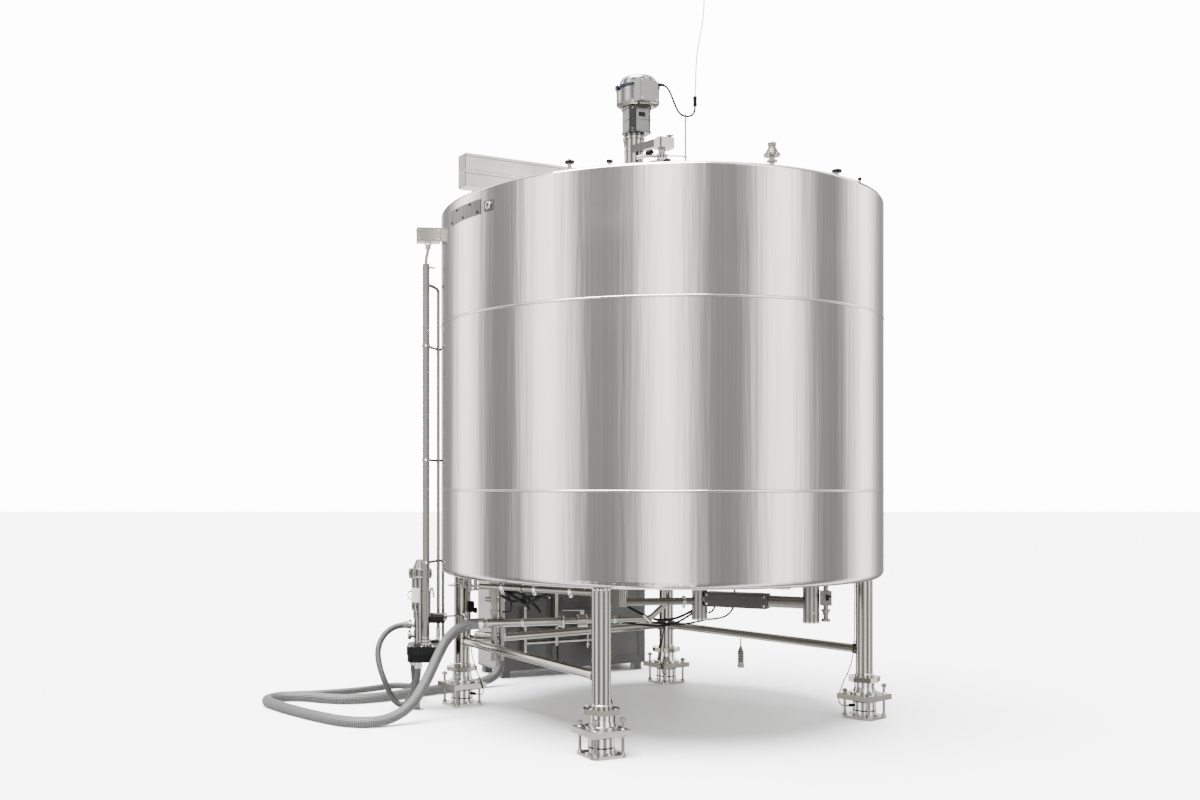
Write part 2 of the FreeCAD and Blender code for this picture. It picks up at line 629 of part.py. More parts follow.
# ---------------------------------------------------------------- seat valve and hose block
valve_at = (size("valve_x"), size("valve_y"))
ports = [(610, 52), (536, 52)]
body = fuse(
    cylinder("45", f"{645 - block_top}", (*valve_at, block_top)),
    cylinder("52", "12", (*valve_at, 645)),
    *[cylinder("17", f"{reach}", (valve_at[0], valve_at[1], level), (-1, 0, 0))
      for level, reach in ((597, 62), (522, 66))],
    *[cylinder("25", "12", (valve_at[0] - reach, valve_at[1], level), (-1, 0, 0))
      for level, reach in ((597, 62), (522, 66))])
node("valve_body", cut(
    body, cylinder("38", "140", (*valve_at, block_top + 8)),
    cylinder("9.5", "200", (*valve_at, block_top + 20)),
    cylinder("13", "120", (valve_at[0], valve_at[1], 597), (-1, 0, 0))))
lantern_posts = [cylinder("6", "46", (valve_at[0] + dx, valve_at[1] + dy, 657))
                 for dx, dy in ((34, 0), (-34, 0), (0, 34), (0, -34))]
actuator = fuse(
    *lantern_posts,
    cylinder("62", "227", (*valve_at, 703)),
    cylinder("80", "68", (*valve_at, 930)),
    cone("56", "32", "60", (*valve_at, 998)))
node("valve_actuator", cut(
    actuator, cylinder("9.5", "300", (*valve_at, 690)),
    cylinder("54", "150", (*valve_at, 720))))
node("valve_stem", fuse(
    cylinder("9", "330", (*valve_at, 530)),
    cylinder("34", "16", (*valve_at, 530)),
    cylinder("50", "18", (*valve_at, 760))))

hose_sockets = {"loop": (-1664, 104), "transfer": (-1706, 262)}
block_upper = rounded(box("block_right - block_left", "block_depth", "56",
                          (block_middle_x, block_middle_y, size("block_top") - 56)),
                      "base_corner", upright)
block_lower = rounded(box("block_right - block_left - 2 * block_step",
                          "block_depth - 2 * block_step",
                          "block_top - block_foot - 55",
                          (block_middle_x, block_middle_y, size("block_foot"))),
                      "base_corner", upright)
node("hose_block", fuse(block_upper, block_lower))

# ---------------------------------------------------------------- milk outlet
outlet_level = 668
hose_start = Vector(-1198, -20, 631)
elbow_point = Vector(0, 0, outlet_level)
along = (hose_start - elbow_point).normalize()
valve_centre = elbow_point + along * 520
union_at = elbow_point + along * 760
sump_top = foot - size("floor_drop")
riser_top = Vector(size("outlet_x"), 0, sump_top)
riser_knee = Vector(size("outlet_x"), 0, 778)
low_knee = elbow_point + along * 46
narrow_end = valve_centre - along * 34
narrow_route = [riser_top, riser_knee, low_knee, narrow_end]
narrow_pipe, narrow_length, narrow_radii = swept(narrow_route, size("narrow_pipe_radius"), 78)
narrow_bore, bore_length, bore_radii = swept(narrow_route, size("narrow_pipe_radius") - 1.6, 78)
outlet_upper = cut(
    fuse(feature(narrow_pipe),
         cylinder("32", "14", (size("outlet_x"), 0, 860)), cylinder("sump_radius + 4", "6", (0, 0, base_level - 6)),
         cylinder("30", "12", elbow_point + along * 250, along)),
    feature(narrow_bore))
node("outlet_bend", outlet_upper)
valve_exit = valve_centre + along * 34
rest_length = (hose_start - valve_exit).Length
outlet_lower = cut(
    fuse(cylinder("narrow_pipe_radius", "120", valve_exit, along),
         cylinder("pipe_radius", f"{rest_length - 119}", valve_exit + along * 119, along),
         cylinder("union_radius + 6", "24", valve_exit + along * 112, along),
         cylinder("union_radius + 2", "30", hose_start - along * 46, along)),
    cylinder("narrow_pipe_radius - pipe_wall", f"{rest_length + 20}", valve_exit - along * 10,
             along))
node("outlet_pipe", outlet_lower)
outlet_axis = Rotation(UP, along)
node("outlet_valve_body", cut(
    fuse(cylinder("44", "56", valve_centre - along * 28, along),
         cylinder("34", "68", valve_centre - along * 34, along),
         cylinder("14", "64", valve_centre)),
    cylinder("24", "100", valve_centre - along * 50, along),
    cylinder("6.05", "140", valve_centre - Vector(0, 0, 34))))
disc = cylinder("23.4", "4", valve_centre - along * 2, along)
lever_turn = math.degrees(math.atan2(along.y, along.x))
lever = box("150", "22", "6", valve_centre + Vector(0, 0, 69), lever_turn)
lever_offset = Vector(along) * 62
lever.Placement = Placement(lever_offset, Rotation()).multiply(lever.Placement)
node("outlet_valve_lever", fuse(
    disc, cylinder("6", "104", valve_centre - Vector(0, 0, 30)), lever))

# ---------------------------------------------------------------- hoses
hose_lie = size("hose_radius") + 0.5
hose_tail = Vector(-1055, 1215, 420)
cord("milk_hose", [
    tuple(hose_start), tuple(hose_start + along * 150), (-1462, -55, 533),
    (-1528, -140, 405), (-1600, -250, 256), (-1700, -352, 108), (-1840, -440, 40), (-1990, -498, hose_lie),
    (-2150, -440, hose_lie), (-2290, -310, hose_lie), (-2460, -130, hose_lie),
    (-2640, 90, hose_lie),
    (-2800, 335, hose_lie), (-2706, 504, hose_lie), (-2513, 504, hose_lie),
    (-2340, 400, hose_lie), (-2160, 372, hose_lie), (-1930, 480, hose_lie),
    (-1700, 680, hose_lie), (-1460, 880, hose_lie), (-1230, 1080, hose_lie),
    (-1075, 1190, 90), (-1055, 1215, 250), tuple(hose_tail)], "hose_radius")
transfer_lie = size("transfer_radius") + 0.5
transfer_end = Vector(-2660, 660, transfer_lie)
cord("transfer_hose", [
    (*hose_sockets["transfer"], size("block_foot")), (*hose_sockets["transfer"], 245), (-1698, 385, 145),
    (-1706, 590, 112), (-1722, 740, 112), (-1744, 890, 50), (-1780, 1020, transfer_lie),
    (-1880, 1090, transfer_lie), (-2010, 970, transfer_lie), (-2150, 850, transfer_lie),
    (-2330, 760, transfer_lie), (-2500, 690, transfer_lie), tuple(transfer_end)],
    "transfer_radius")
coupling_way = Vector(-160, -30, 0).normalize()
node("transfer_coupling", fuse(
    cylinder("transfer_radius - 1", "70", transfer_end, coupling_way),
    cylinder("transfer_radius", "26", transfer_end + coupling_way * 30, coupling_way)))
loop_lie = size("loop_radius") + 0.5
port = Vector(valve_at[0] - 74, valve_at[1], 597)
cord("loop_hose", [
    tuple(port), (-1815, 200, 597), (-1905, 165, 545), (-1955, 140, 445), (-1945, 105, 335),
    (-1900, 85, 210), (-1850, 112, 92), (-1804, 128, 40), (-1752, 130, 44), (-1712, 122, 112),
    (-1680, 110, 195), (*hose_sockets["loop"], 270),
    (*hose_sockets["loop"], size("block_foot"))], "loop_radius")

# ---------------------------------------------------------------- drive cable
connector_foot = Vector(256, -55, 4212)
connector_top = connector_foot + Vector(0, 0, 68)
cord("motor_conduit", [
    tuple(gland_at), (46, -80, 4352), (82, -70, 4306), (112, -58, 4232),
    (145, -50, 4166), (191, -50, 4140), (236, -52, 4148), (256, -55, 4180),
    tuple(connector_foot)], "conduit_radius")
node("conduit_connector", fuse(
    cylinder("13", "68", connector_foot), cylinder("15", "10", connector_foot + Vector(0, 0, 8)),
    cylinder("15", "8", connector_foot + Vector(0, 0, 52))))
hook_level = 5075
cord("supply_cable", [
    tuple(connector_top), (259, -55, 4350), (262, -55, 4450), (268, -54, 4570),
    (290, -52, 4690), (312, -50, 4800), (320, -50, 4920), (322, -50, hook_level)],
    "cable_radius")
node("ceiling_fitting", fuse(
    cylinder("14", "40", (322, -50, hook_level)), cylinder("40", "8", (322, -50, hook_level + 40))))

# ---------------------------------------------------------------- pipework under the vessel
header_level = 820
drops = [(271, -150, 673), (937, -500, 690)]
drop_posts = [cylinder("53", f"jacket_base - {level}", (x, y, level)) for x, y, level in drops]
first, second = Vector(*drops[0][:2], header_level), Vector(*drops[1][:2], header_level)
link = second - first
link_pipe = cut(cylinder("40", f"{link.Length}", first, link),
                *[cylinder("53", "400", (x, y, 650)) for x, y, level in drops])
left_pipe = fuse(cylinder("26", "534", (drops[0][0], drops[0][1], 800), (-1, -0.12, 0)),
                 cylinder("33", "12", (60, -175.3, 800), (-1, -0.12, 0)))
header_end = Vector(drops[0][0], drops[0][1], 800) + Vector(-1, -0.12, 0).normalize() * 534
left_header = cut(fuse(left_pipe, cylinder("29", f"{base_level - 768}", tuple(header_end - UP * 32))),
                  cylinder("53", "400", (drops[0][0], drops[0][1], 650)))
duct_middle = first + Vector(link).normalize() * 262
cable_duct = cut(box("418", "110", "95", (duct_middle.x, duct_middle.y, 770),
                     math.degrees(math.atan2(link.y, link.x))),
                 *[cylinder("53", "400", (x, y, 650)) for x, y, level in drops])
side_return = fuse(cylinder("29", f"{base_level - 655}", (-1128, 1262, 655)),
                   cylinder("36", "16", (-1128, 1262, 655)))
rim_start, rim_end = Vector(-1232, -396, 922), Vector(-500, -899, 922)
rim_pipe = fuse(cylinder("19", f"{(rim_end - rim_start).Length}", rim_start, rim_end - rim_start),
                cylinder("26", "14", rim_start + (rim_end - rim_start) * 0.36,
                         rim_end - rim_start),
                *[cylinder("10", f"{base_level - 922 - 12}", (point.x, point.y, 934))
                  for point in (rim_start + (rim_end - rim_start) * 0.1,
                                rim_start + (rim_end - rim_start) * 0.9)])
hose_pipe = fuse(cylinder("26.5", "569", hose_tail), cylinder("34", "30", hose_tail))
node("return_pipe", hose_pipe)
sample_at = (1032, -505)
sample_valve = fuse(
    cylinder("16", f"{base_level - 700}", (*sample_at, 700)), box("62", "62", "96", (*sample_at, 806)),
    cylinder("29", "14", (*sample_at, 766)), cylinder("20", "20", (*sample_at, 746)),
    cylinder("29", "18", (*sample_at, 700)))
node("underside_pipework", group(*drop_posts, fuse(link_pipe, cable_duct), left_header, rim_pipe,
                                 side_return, sample_valve))

pendant_at = (748, 755)
pendant_top = size("brace_level") - size("brace_radius")
node("pendant_plug", fuse(
    cylinder("6", "58", (*pendant_at, pendant_top - 64)),
    cone("22", "7", "40", (*pendant_at, pendant_top - 100)),
    cylinder("22", "125", (*pendant_at, pendant_top - 225)),
    cylinder("25", "34", (*pendant_at, pendant_top - 225))))

# ---------------------------------------------------------------- service cabinet
cabinet_turn = 23.5
cabinet_frame = Placement(Vector(-1056, 1514, 0), Rotation(UP, cabinet_turn))
length, depth = size("cabinet_length"), size("cabinet_width")
cabinet_foot = size("cabinet_foot")
shell = cut(
    box("cabinet_length", "cabinet_width", "cabinet_height", (length / 2, depth / 2, cabinet_foot),
        0, cabinet_frame),
    box("cabinet_length - 2 * cabinet_wall", "cabinet_width - 2 * cabinet_wall",
        "cabinet_height - 2 * cabinet_wall",
        (length / 2, depth / 2, cabinet_foot + size("cabinet_wall")), 0, cabinet_frame),
    box("door_length", "200", "cabinet_height - 80",
        (length - 60 - size("door_length") / 2, 0, cabinet_foot + 40), 0, cabinet_frame))
door_gap = size("door_gap")
door_middle = length - 60 - size("door_length") / 2
hinge_at = door_middle + size("door_length") / 2 + 22
hinge_levels = [cabinet_foot + level for level in (120, 560, 1000)]
knuckles = [fuse(cylinder("8", "60", (hinge_at, -12, level), UP, cabinet_frame),
                 box("14", "6", "60", (hinge_at - 7, -17, level), 0, cabinet_frame))
            for level in hinge_levels]
pins = [fuse(cylinder("3", "64", (hinge_at, -12, level), UP, cabinet_frame),
             box("10", "17", "8", (hinge_at, -8.5, level - 9), 0, cabinet_frame))
        for level in hinge_levels]
node("cabinet_door", cut(fuse(
    box("door_length + 28", "door_wall", "cabinet_height - 52",
        (door_middle, -size("door_wall") / 2 - 1, cabinet_foot + 26), 0, cabinet_frame),
    *knuckles),
    cylinder("3.06", "cabinet_height", (hinge_at, -12, cabinet_foot + 60), UP, cabinet_frame)))
node("cabinet_latch", fuse(
    cylinder("11", "14", cabinet_frame.multVec(Vector(door_middle - 170, -23, 640)),
             cabinet_frame.Rotation.multVec(Vector(0, -1, 0))),
    box("24", "12", "120", (door_middle - 170, -43, 590), 0, cabinet_frame)))
node("service_cabinet", group(fuse(shell, *pins), *[
    box("70", "70", "cabinet_foot", (x, y, 0), 0, cabinet_frame)
    for x in (60, length - 60) for y in (60, depth - 60)]))

# ---------------------------------------------------------------- check and write
doc.recompute()
faulty = [item.Label for item in doc.Objects if "Invalid" in item.State or "Error" in item.State]
if faulty:
    raise RuntimeError(f"failed objects: {faulty}")
os.makedirs("parts", exist_ok=True)
for item in sub_parts:
    if item.Shape.isNull() or not item.Shape.isValid():
        raise RuntimeError(f"{item.Label} has no valid shape")
    item.Shape.exportStep(os.path.join("parts", f"{item.Label}.step"))
print(len(sub_parts), "sub-parts written")
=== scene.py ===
import math

import bmesh
import bpy
from mathutils import Matrix, Vector


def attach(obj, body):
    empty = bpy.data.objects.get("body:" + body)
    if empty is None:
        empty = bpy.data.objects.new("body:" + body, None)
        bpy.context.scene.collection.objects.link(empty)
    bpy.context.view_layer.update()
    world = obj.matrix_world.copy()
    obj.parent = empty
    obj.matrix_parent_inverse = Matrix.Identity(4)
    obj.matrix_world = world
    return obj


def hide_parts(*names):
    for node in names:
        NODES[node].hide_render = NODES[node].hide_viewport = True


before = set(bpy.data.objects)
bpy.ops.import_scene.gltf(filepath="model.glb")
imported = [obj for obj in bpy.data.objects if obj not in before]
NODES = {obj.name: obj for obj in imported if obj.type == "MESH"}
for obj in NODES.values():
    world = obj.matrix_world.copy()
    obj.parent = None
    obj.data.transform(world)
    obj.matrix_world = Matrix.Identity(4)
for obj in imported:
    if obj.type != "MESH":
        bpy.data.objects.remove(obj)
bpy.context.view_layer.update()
UP = Vector((0, 0, 1))
EYE_LEVEL, EYE_DISTANCE, EYE_SIDE = 1.6068, 8.5518, -1.2665

# ------------------------------------------------------------ camera
camera_data = bpy.data.cameras.new("camera")
camera_data.lens = 36.86
camera_data.sensor_width = 36
camera_data.shift_x = 0.1043
camera_data.shift_y = 0.0692
camera_data.clip_start, camera_data.clip_end = 0.1, 200
camera = bpy.data.objects.new("camera", camera_data)
camera.location = (EYE_SIDE, -EYE_DISTANCE, EYE_LEVEL)
camera.rotation_euler = (math.radians(90), 0, 0)
bpy.context.collection.objects.link(camera)
bpy.context.scene.camera = camera


# ------------------------------------------------------------ materials
class Tree:
    """A node tree, with short calls for the nodes used here."""

    def __init__(self, tree):
        self.tree = tree

    def add(self, kind, links=(), **settings):
        node = self.tree.nodes.new(kind)
        for key, value in settings.items():
            if hasattr(node, key):
                setattr(node, key, value)
            else:
                node.inputs[key.replace("_", " ")].default_value = value
        for socket, source in dict(links).items():
            self.tree.links.new(source, node.inputs[socket])
        return node

    def maths(self, operation, first, second=None, third=None):
        node = self.tree.nodes.new("ShaderNodeMath")
        node.operation = operation
        for index, value in enumerate((first, second, third)):
            if value is None:
                continue
            if isinstance(value, (int, float)):
                node.inputs[index].default_value = value
            else:
                self.tree.links.new(value, node.inputs[index])
        return node.outputs[0]

    def noise(self, vector, scale=1.0, detail=3.0, roughness=0.5):
        return self.add("ShaderNodeTexNoise", {"Vector": vector}, Scale=scale, Detail=detail,
            Roughness=roughness).outputs["Fac"]

    def ramp(self, value, low, high, out_low=0.0, out_high=1.0):
        node = self.add("ShaderNodeMapRange", {"Value": value})
        for socket, number in zip(("From Min", "From Max", "To Min", "To Max"),
                (low, high, out_low, out_high)):
            node.inputs[socket].default_value = number
        return node.outputs[0]


class Nodes(Tree):
    """A material, which starts as one Principled shader."""

    def __init__(self, name, colour, rough, metallic=0.0, **sockets):
        self.material = bpy.data.materials.new(name)
        self.material.use_nodes = True
        super().__init__(self.material.node_tree)
        self.shader = self.tree.nodes["Principled BSDF"]
        self.colour, self.rough = colour, rough
        self.shader.inputs["Base Color"].default_value = (*colour, 1)
        self.shader.inputs["Roughness"].default_value = rough
        self.shader.inputs["Metallic"].default_value = metallic
        for socket, value in sockets.items():
            self.shader.inputs[socket.replace("_", " ")].default_value = value

    def position(self, scale=(1, 1, 1)):
        """Object coordinates, stretched by scale."""
        source = self.add("ShaderNodeTexCoord").outputs["Object"]
        return self.add("ShaderNodeMapping", {"Vector": source}, Scale=scale).outputs[0]

    def around(self, turns, lengthwise):
        """Coordinates that run round a vertical axis and along it."""
        source = self.add("ShaderNodeTexCoord").outputs["Object"]
        parts = self.add("ShaderNodeSeparateXYZ", {"Vector": source}).outputs
        angle = self.maths("ARCTAN2", parts[1], parts[0])
        return self.add("ShaderNodeCombineXYZ", {"X": self.maths("MULTIPLY", self.maths("SINE", angle),
            turns), "Y": self.maths("MULTIPLY", self.maths("COSINE", angle), turns),
            "Z": self.maths("MULTIPLY", parts[2], lengthwise)}).outputs[0]

    def vary_colour(self, value, other, low=0.3, high=0.7):
        mix = self.add("ShaderNodeMix", data_type="RGBA")
        self.tree.links.new(self.ramp(value, low, high), mix.inputs["Factor"])
        mix.inputs[6].default_value = (*self.colour, 1)
        mix.inputs[7].default_value = (*other, 1)
        self.tree.links.new(mix.outputs[2], self.shader.inputs["Base Color"])
        return self

    def vary_rough(self, value, spread, low=0.3, high=0.7):
        self.tree.links.new(self.ramp(value, low, high, self.rough - spread, self.rough + spread),
            self.shader.inputs["Roughness"])
        return self

    def bump(self, *layers):
        """Each layer is (height value, distance in metres, strength)."""
        normal = None
        for height, distance, strength in layers:
            node = self.add("ShaderNodeBump", {"Height": height}, Strength=strength, Distance=distance)
            if normal is not None:
                self.tree.links.new(normal, node.inputs["Normal"])
            normal = node.outputs["Normal"]
        self.tree.links.new(normal, self.shader.inputs["Normal"])
        return self


def jacket_steel(name, shift):
    """Rolled sheet, brushed round the vessel: reflections smear up and down, not sideways.
    Each strake has a shift of its own, so that its waviness differs from its neighbour's."""
    make = Nodes(name, (0.68, 0.665, 0.64), 0.135, 1.0, Anisotropic=0.85, Anisotropic_Rotation=0.25)
    round_z = make.add("ShaderNodeTangent", direction_type="RADIAL", axis="Z")
    make.tree.links.new(round_z.outputs[0], make.shader.inputs["Tangent"])
    grain = make.noise(make.around(9, 900), detail=2)
    sheet = make.noise(make.around(6 + shift, 0.22), detail=4, roughness=0.5)
    brushed_tone_and_painted_reflection = make.noise(make.around(60, 0.35), detail=3)
    cloud = make.noise(make.position((1.1, 1.1, 0.5 + shift)), detail=4)
    # Fine vertical streaks, darker and warmer: partly the sheet's own brushed tone, partly painted
    # reflection streaks.
    make.vary_colour(brushed_tone_and_painted_reflection, (0.58, 0.55, 0.5), 0.3, 0.8)
    make.vary_rough(cloud, 0.04)
    return make.bump((sheet, 0.014, 0.4), (brushed_tone_and_painted_reflection, 0.0005, 0.25), (grain, 0.00005, 0.5)).material


def brushed_steel(name, colour, rough, stretch=(14, 14, 500)):
    """Steel with a grain along its least stretched directions, and faint stains."""
    make = Nodes(name, colour, rough, 1.0)
    grain = make.noise(make.position(stretch), detail=2)
    cloud = make.noise(make.position((3, 3, 3)), detail=4)
    make.vary_colour(cloud, tuple(part * 0.84 for part in colour))
    make.vary_rough(cloud, 0.07)
    return make.bump((grain, 0.00015, 0.5)).material


def painted(name, colour, rough):
    """Paint with a slight orange peel."""
    make = Nodes(name, colour, rough, Coat_Weight=0.15, Coat_Roughness=0.3)
    peel = make.noise(make.position((180, 180, 180)), detail=2)
    cloud = make.noise(make.position((5, 5, 5)), detail=3)
    make.vary_colour(cloud, tuple(part * 0.9 for part in colour))
    make.vary_rough(cloud, 0.06)
    return make.bump((peel, 0.0002, 0.35)).material


def moulded(name, colour, rough, gloss=0.5):
    """Plastic or rubber with fine pores."""
    make = Nodes(name, colour, rough, Specular_IOR_Level=gloss)
    pores = make.noise(make.position((700, 700, 700)), detail=2)
    cloud = make.noise(make.position((9, 9, 9)), detail=3)
    make.vary_colour(cloud, tuple(min(1, part * 1.25 + 0.001) for part in colour))
    make.vary_rough(cloud, 0.08)
    return make.bump((pores, 0.0002, 0.4)).material


LOWER = jacket_steel("lower_jacket_steel", 0.0)
JACKET = jacket_steel("jacket_steel", 0.7)
UPPER = jacket_steel("upper_jacket_steel", 1.3)
STEEL = brushed_steel("tube_steel", (0.38, 0.362, 0.328), 0.2)
VALVE = brushed_steel("valve_steel", (0.26, 0.25, 0.23), 0.22)
PLATE = brushed_steel("plate_steel", (0.37, 0.35, 0.31), 0.3, (400, 14, 14))
BRIGHT = brushed_steel("bright_steel", (0.72, 0.71, 0.69), 0.16)
DARK_STEEL = brushed_steel("dull_steel", (0.27, 0.257, 0.235), 0.32)
DULL = brushed_steel("strip_steel", (0.15, 0.145, 0.135), 0.36)
GEAR = brushed_steel("gear_case", (0.125, 0.125, 0.122), 0.25, (60, 60, 90))
TRUNK = brushed_steel("trunking_steel", (0.62, 0.605, 0.57), 0.36, (400, 14, 14))
# A lighter copy of the cabinet paint: painted light for the cabinet's lit sides.
PAINTED_LIGHT_PANEL = painted("panel_painted_light", (0.115, 0.112, 0.105), 0.42)
MOTOR = brushed_steel("motor_steel", (0.33, 0.325, 0.31), 0.26, (14, 14, 300))
BLACK = moulded("black_plastic", (0.0012, 0.0012, 0.0016), 0.42, 0.14)
GREY = moulded("grey_plastic", (0.045, 0.045, 0.045), 0.42)
WHITE = moulded("white_plastic", (0.26, 0.26, 0.25), 0.35)
RUBBER = moulded("black_rubber", (0.004, 0.004, 0.004), 0.6, 0.25)
CABINET = painted("cabinet_paint", (0.016, 0.0155, 0.014), 0.42)
BLUE = moulded("blue_strap", (0.004, 0.005, 0.014), 0.35, 0.3)
FINISHES = {"jacket_lower_strake": LOWER, "jacket_middle_strake": JACKET, "jacket_upper_strake": UPPER,
    "roof_cladding": JACKET, "agitator_gearbox": GEAR, "motor_housing": MOTOR, "motor_terminal_box": MOTOR,
     "motor_rotor": DARK_STEEL, "hose_block": BLACK, "shaft_seal": RUBBER, "manway_gasket": RUBBER,
    "junction_box": PLATE, "box_conduit": STEEL, "service_cabinet": CABINET, "cabinet_door": CABINET,
    "cabinet_latch": BRIGHT, "conduit_connector": BLACK, "pendant_plug": DARK_STEEL, "load_cells": BRIGHT,
    "foot_bearing_plates": PLATE, "foot_base_plates": PLATE, "foot_rocker_caps": BRIGHT,
    "foot_studs": DARK_STEEL, "underside_pipework": DARK_STEEL, "cable_rod": DARK_STEEL,
    "cooling_jacket": DARK_STEEL, "bottom_cladding": PLATE, "inner_vessel": BRIGHT,
    "transfer_coupling": BRIGHT, "trunking_lower": TRUNK, "trunking_upper": TRUNK,
    "ceiling_fitting": DARK_STEEL, "riser_pipes": VALVE, "riser_brackets": VALVE, "valve_body": VALVE,
    "valve_actuator": VALVE, "motor_conduit": GREY, "supply_cable": RUBBER,}
for name, item in NODES.items():
    item.data.materials.clear()
    item.data.materials.append(FINISHES.get(name, STEEL))


# ------------------------------------------------------------ cords
def spline_points(route):
    """Points along the smooth line of a route, read from its NURBS spline."""
    data = bpy.data.curves.new("line", "CURVE")
    data.dimensions = "3D"
    spline = data.splines.new("NURBS")
    spline.points.add(len(route) - 1)
    for point, place in zip(spline.points, route):
        point.co = (*place, 1)
    spline.order_u = 3
    spline.use_endpoint_u = True
    spline.resolution_u = 12
    holder = bpy.data.objects.new("line", data)
    mesh = bpy.data.meshes.new_from_object(holder)
    points = [vertex.co.copy() for vertex in mesh.vertices]
    bpy.data.objects.remove(holder)
    return points


def tube_rings(made, points, radius, sides):
    """Rings of vertices round a line, carried along it without twisting."""
    heading = (points[1] - points[0]).normalized()
    normal = heading.orthogonal().normalized()
    rings = []
    for index, point in enumerate(points):
        ahead = points[min(index + 1, len(points) - 1)] - points[max(index - 1, 0)]
        turn = heading.rotation_difference(ahead.normalized())
        normal, heading = turn @ normal, ahead.normalized()
        side = heading.cross(normal)
        rings.append([made.verts.new(point + radius * (
            normal * math.cos(math.tau * step / sides) + side * math.sin(math.tau * step / sides)))
            for step in range(sides)])
    return rings


def tube_mesh(name, points, radius, sides=24):
    """A round tube round a line. Its UVs are metres along and turns round."""
    made = bmesh.new()
    layer = made.loops.layers.uv.new("along")
    rings = tube_rings(made, points, radius, sides)
    travelled = [0.0]
    for before, point in zip(points, points[1:]):
        travelled.append(travelled[-1] + (point - before).length)
    for index in range(len(rings) - 1):
        for step in range(sides):
            after = (step + 1) % sides
            face = made.faces.new((rings[index][step], rings[index][after], rings[index + 1][after],
                rings[index + 1][step]))
            face.smooth = True
            spots = ((travelled[index], step / sides), (travelled[index], (step + 1) / sides),
                (travelled[index + 1], (step + 1) / sides), (travelled[index + 1], step / sides))
            for loop, spot in zip(face.loops, spots):
                loop[layer].uv = spot
    made.faces.new(list(reversed(rings[0])))
    made.faces.new(rings[-1])
    mesh = bpy.data.meshes.new(name)
    made.to_mesh(mesh)
    made.free()
    return mesh, travelled[-1]


def add_cord(name, route, diameter, material, node, slot, sides=24, **facts):
    points = spline_points(route)
    mesh, length = tube_mesh(name, points, diameter / 2, sides)
    mesh.materials.append(material)
    cord = bpy.data.objects.new(name, mesh)
    bpy.context.collection.objects.link(cord)
    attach(cord, "tank")
    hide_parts(node)
    return cord


def woven(name, colour, dark, pitch, around):
    """A hose sheath of crossing strands, from the tube's UVs."""
    make = Nodes(name, colour, 0.38, 0.25)
    spot = make.add("ShaderNodeUVMap", uv_map="along").outputs[0]
    parts = make.add("ShaderNodeSeparateXYZ", {"Vector": spot}).outputs
    along = make.maths("MULTIPLY", parts[0], math.tau / pitch)
    round_ = make.maths("MULTIPLY", parts[1], math.tau * around)
    first = make.maths("SINE", make.maths("ADD", along, round_))
    second = make.maths("SINE", make.maths("SUBTRACT", along, round_))
    weave = make.maths("MULTIPLY", first, second)
    make.vary_colour(weave, dark, 0.2, -0.5)
    return make.bump((weave, 0.0016, 0.8)).material


def ribbed(name, colour, dark, pitch):
    """A hose with fine rings."""
    make = Nodes(name, colour, 0.42, 0.15)
    spot = make.add("ShaderNodeUVMap", uv_map="along").outputs[0]
    parts = make.add("ShaderNodeSeparateXYZ", {"Vector": spot}).outputs
    wave = make.maths("SINE", make.maths("MULTIPLY", parts[0], math.tau / pitch))
    cloud = make.noise(make.position((6, 6, 6)), detail=4)
    make.vary_colour(make.maths("MULTIPLY_ADD", wave, 0.12, cloud), dark)
    return make.bump((wave, 0.0012, 0.6)).material


HOSE = woven("hose_weave", (0.09, 0.09, 0.088), (0.006, 0.006, 0.006), 0.024, 11)
RIB = ribbed("hose_ribs", (0.042, 0.042, 0.041), (0.018, 0.018, 0.0175), 0.012)
FLOOR_HOSE = 0.0365
add_cord("milk_hose_sheath", [(-1.198, -0.02, 0.631), (-1.3478, -0.0219, 0.6264), (-1.462, -0.055, 0.533),
    (-1.528, -0.14, 0.405), (-1.6, -0.25, 0.256), (-1.7, -0.352, 0.108), (-1.84, -0.44, 0.04),
    (-1.99, -0.498, FLOOR_HOSE), (-2.15, -0.44, FLOOR_HOSE), (-2.29, -0.31, FLOOR_HOSE),
    (-2.46, -0.13, FLOOR_HOSE), (-2.64, 0.09, FLOOR_HOSE), (-2.8, 0.335, FLOOR_HOSE),
    (-2.706, 0.504, FLOOR_HOSE), (-2.513, 0.504, FLOOR_HOSE), (-2.34, 0.4, FLOOR_HOSE),
    (-2.16, 0.372, FLOOR_HOSE), (-1.93, 0.48, FLOOR_HOSE), (-1.7, 0.68, FLOOR_HOSE),
    (-1.46, 0.88, FLOOR_HOSE), (-1.23, 1.08, FLOOR_HOSE), (-1.075, 1.19, 0.09), (-1.055, 1.215, 0.25),
    (-1.055, 1.215, 0.42)], 0.072, HOSE, "milk_hose", "hose_grey", far_end="object", stiffness="medium",
    lay="loose")
THIN = 0.0235
add_cord("transfer_hose_sheath", [(-1.706, 0.262, 0.35), (-1.706, 0.262, 0.245), (-1.698, 0.385, 0.145),
    (-1.706, 0.59, 0.112), (-1.722, 0.74, 0.112), (-1.744, 0.89, 0.05), (-1.78, 1.02, THIN),
    (-1.88, 1.09, THIN), (-2.01, 0.97, THIN), (-2.15, 0.85, THIN), (-2.33, 0.76, THIN), (-2.5, 0.69, THIN),
     (-2.66, 0.66, THIN)], 0.046, RIB, "transfer_hose", "hose_grey", far_end="connector", stiffness="medium",
     lay="loose", with_pieces=[NODES["transfer_coupling"]])
add_cord("loop_hose_sheath", [(-1.729, 0.2, 0.597), (-1.815, 0.2, 0.597), (-1.905, 0.165, 0.545),
    (-1.955, 0.14, 0.445), (-1.945, 0.105, 0.335), (-1.9, 0.085, 0.21), (-1.85, 0.112, 0.092),
    (-1.804, 0.128, 0.04), (-1.752, 0.13, 0.044), (-1.712, 0.122, 0.112), (-1.68, 0.11, 0.195),
    (-1.664, 0.104, 0.27), (-1.664, 0.104, 0.35)], 0.042, RIB, "loop_hose", "hose_grey", far_end="object",
    stiffness="medium", lay="hanging")
